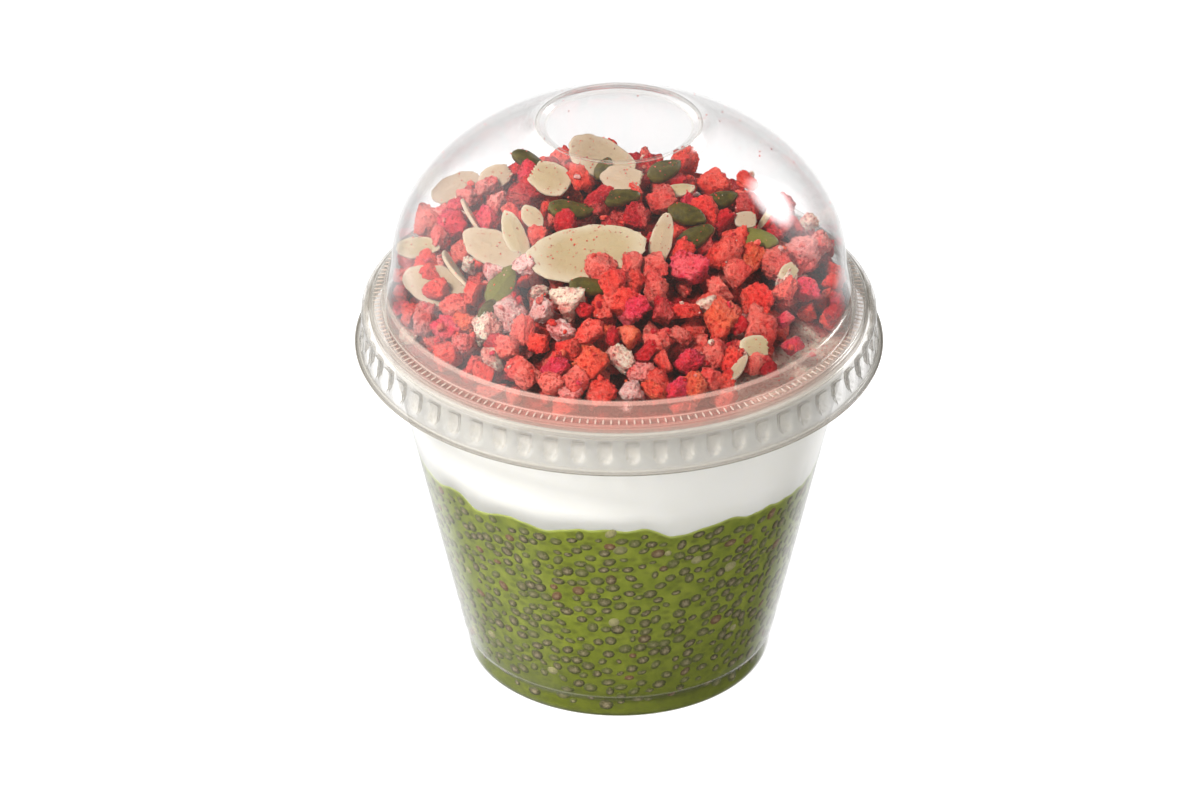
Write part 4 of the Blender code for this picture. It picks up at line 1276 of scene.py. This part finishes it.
def flute_press(height, turn):
    """How far each point is pressed in by the upright flutes with rounded lower ends, from 0 to 1."""
    pitch = math.tau / FLUTES
    across = np.abs((turn % pitch) - pitch / 2) * SKIRT_RADIUS
    up = (height - FLUTE_SPAN[0]) / (FLUTE_SPAN[1] - FLUTE_SPAN[0])
    rounding = 1 - (1 - np.clip(up / FLUTE_ROUNDING, 0, 1)) ** 2
    side = np.clip((FLUTE_HALF_WIDTH * np.sqrt(rounding) - across) / FLUTE_EDGE, 0, 1)
    ends = np.clip(up / FLUTE_ENDS[0], 0, 1) * np.clip((1 - up) / FLUTE_ENDS[1], 0, 1)
    return side * side * (3 - 2 * side) * ends


def flute_relief(radius, height, turn):
    """Presses the flutes into the skirt."""
    return radius - np.where(radius > SKIRT_INMOST, FLUTE_DEPTH * flute_press(height, turn), 0), height


lid_plastic = clear_plastic("lid_plastic", (0.945, 0.943, 0.943), 0.00012, 0.2)
dome_line = []
top_angle = math.asin(((DOME_TOP_Z - DOME_Z) / DOME_RISE) ** (DOME_POWER / 2))
for angle in np.linspace(top_angle, 0, DOME_RINGS):
    z = DOME_Z + DOME_RISE * math.sin(angle) ** (2 / DOME_POWER)
    dome_line.append(Vector((float(dome_radius(z)), z)))
skirt_line = [Vector((SKIRT_RADIUS + SKIRT_FLARE * (SKIRT_MIDDLE_Z - z), z))
              for z in np.linspace(*SKIRT_SPAN, SKIRT_RINGS)]
crest_corners = [(CREST[0] - CREST_FLAT, CREST[1]), (CREST[0] - CREST_TURN, CREST[1] - CREST_TURN)]
crown_line = bent([(0, RECESS[1]), RECESS, *crest_corners, dome_line[0]], LID_CORNERS[0], 3)
shoulder_line = bent(
    [dome_line[-1], DOME_FOOT, BAND_TOP, *SHELF, STEP, *SKIRT_TOP, skirt_line[0]], LID_CORNERS[1], 3)
lip_line = bent([skirt_line[-1], *LIP], LID_CORNERS[1], 3)
lid_line = crown_line[:-1] + dome_line + shoulder_line[1:-1] + skirt_line + lip_line[1:]
lid_outline = moved_left(lid_line, -LID_WALL) + lid_line[::-1]
lid = lathe("dome_lid_shell", lid_outline, LID_SEGMENTS, lid_plastic, flute_relief)
lid_bends = bends(lid_outline, LID_SEGMENTS)
radius, height, turn = polar(lid.data)
pressed = np.where(radius > SKIRT_INMOST - FLUTE_DEPTH, flute_press(height, turn), 0)
flute_sides = pressed * (1 - pressed)
on_skirt = height < SKIRT_TOP_Z
shoulder = (height > SHOULDER_SPAN[0]) & (height < SHOULDER_SPAN[1])
crest = (height > CREST_LINE[0]) & (radius > CREST_LINE[1]) & (radius < CREST_LINE[2])
step_line = (height > STEP_LINE[0]) & (height < STEP_LINE[1]) & (radius > STEP_LINE[2])
# painted light: the shoulder's film turns pink, most at the front, for the red fruit seen through it
frontward = np.clip(-np.sin(turn), 0, 1) ** 2
# painted highlight and sheen: milky film on the skirt, rounded outer edge, shoulder, bends and flutes;
# painted shade: grey lip, skirt, step line, crest, bends and flute sides
haze = np.select([on_skirt, height < SHOULDER_SPAN[0], shoulder], [0.06, 0.2, 0.13], FILM_HAZE)
edge = np.select([height < LIP_TOP_Z, on_skirt, step_line, crest], [0.3, 0.075, 0.35, 0.1], 0)
bend_shade = np.where(height > CROWN_FOOT_Z, 0.05, 0.15)
store(lid.data, "dust", np.where(shoulder, 0.7 * frontward, 0))
store(lid.data, "haze", haze + 0.22 * lid_bends + 0.12 * pressed + 0.6 * flute_sides)
store(lid.data, "edge", bend_shade * lid_bends + 0.12 * flute_sides + edge)
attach(lid, "root")
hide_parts("dome_lid")


# The shoulder's ribs: two hundred fine raised bars on the shelf round the dome, formed with the lid.
# They stiffen the shelf, which rests on the cup's rim, and catch the light as a row of ticks.
RIB_COUNT = 200
RIB_LENGTH = 1.6
RIB_WIDTH = 0.42
RIB_DEPTH = 0.26
RIB_RING_RADIUS = 46.95
RIB_RING_Z = 78.27

shelf_slope = math.atan2(SHELF[0][1] - SHELF[1][1], SHELF[1][0] - SHELF[0][0])
rib_values = {
    "Count": RIB_COUNT, "Ring": RIB_RING_RADIUS * MM, "Height": RIB_RING_Z * MM, "Length": RIB_LENGTH * MM,
    "Width": RIB_WIDTH * MM, "Depth": RIB_DEPTH * MM, "Slope": shelf_slope}
tree, given = geometry_tree("ribs_round_shoulder", rib_values)
ring = tree.add("GeometryNodeMeshCircle", {"fill_type": "NONE"}, {
    "Vertices": given["Count"], "Radius": given["Ring"]})
lifted = tree.add("GeometryNodeSetPosition", {}, {
    "Geometry": ring, "Offset": joined(tree, 0, 0, given["Height"])})
bar = tree.add("GeometryNodeMeshUVSphere", {}, {"Segments": 10, "Rings": 6, "Radius": 0.5})
outward = tree.add("ShaderNodeVectorMath", {"operation": "MULTIPLY"}, {
    0: tree.add("GeometryNodeInputPosition"), 1: (1, 1, 0)})
radial = tree.add("FunctionNodeAlignRotationToVector", {"axis": "X", "pivot_axis": "Z"}, {"Vector": outward})
bars = tree.add("GeometryNodeInstanceOnPoints", {}, {
    "Points": lifted, "Instance": bar, "Rotation": spun(tree, radial, (0, 1, 0), given["Slope"]),
    "Scale": joined(tree, given["Length"], given["Width"], given["Depth"])})
close_tree(tree, bars, lid_plastic)
ribs = grown("shoulder_ribs", tree, bpy.data.meshes.new("rib_start"), rib_values)
# painted highlight: the ribs' film is milky so they show as bright ticks, with a little painted pink of the
# fruit
for label, value in (("haze", 0.42), ("edge", 0.02), ("dust", 0.15)):
    store(ribs.data, label, np.full(len(ribs.data.vertices), value))
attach(ribs, "root")
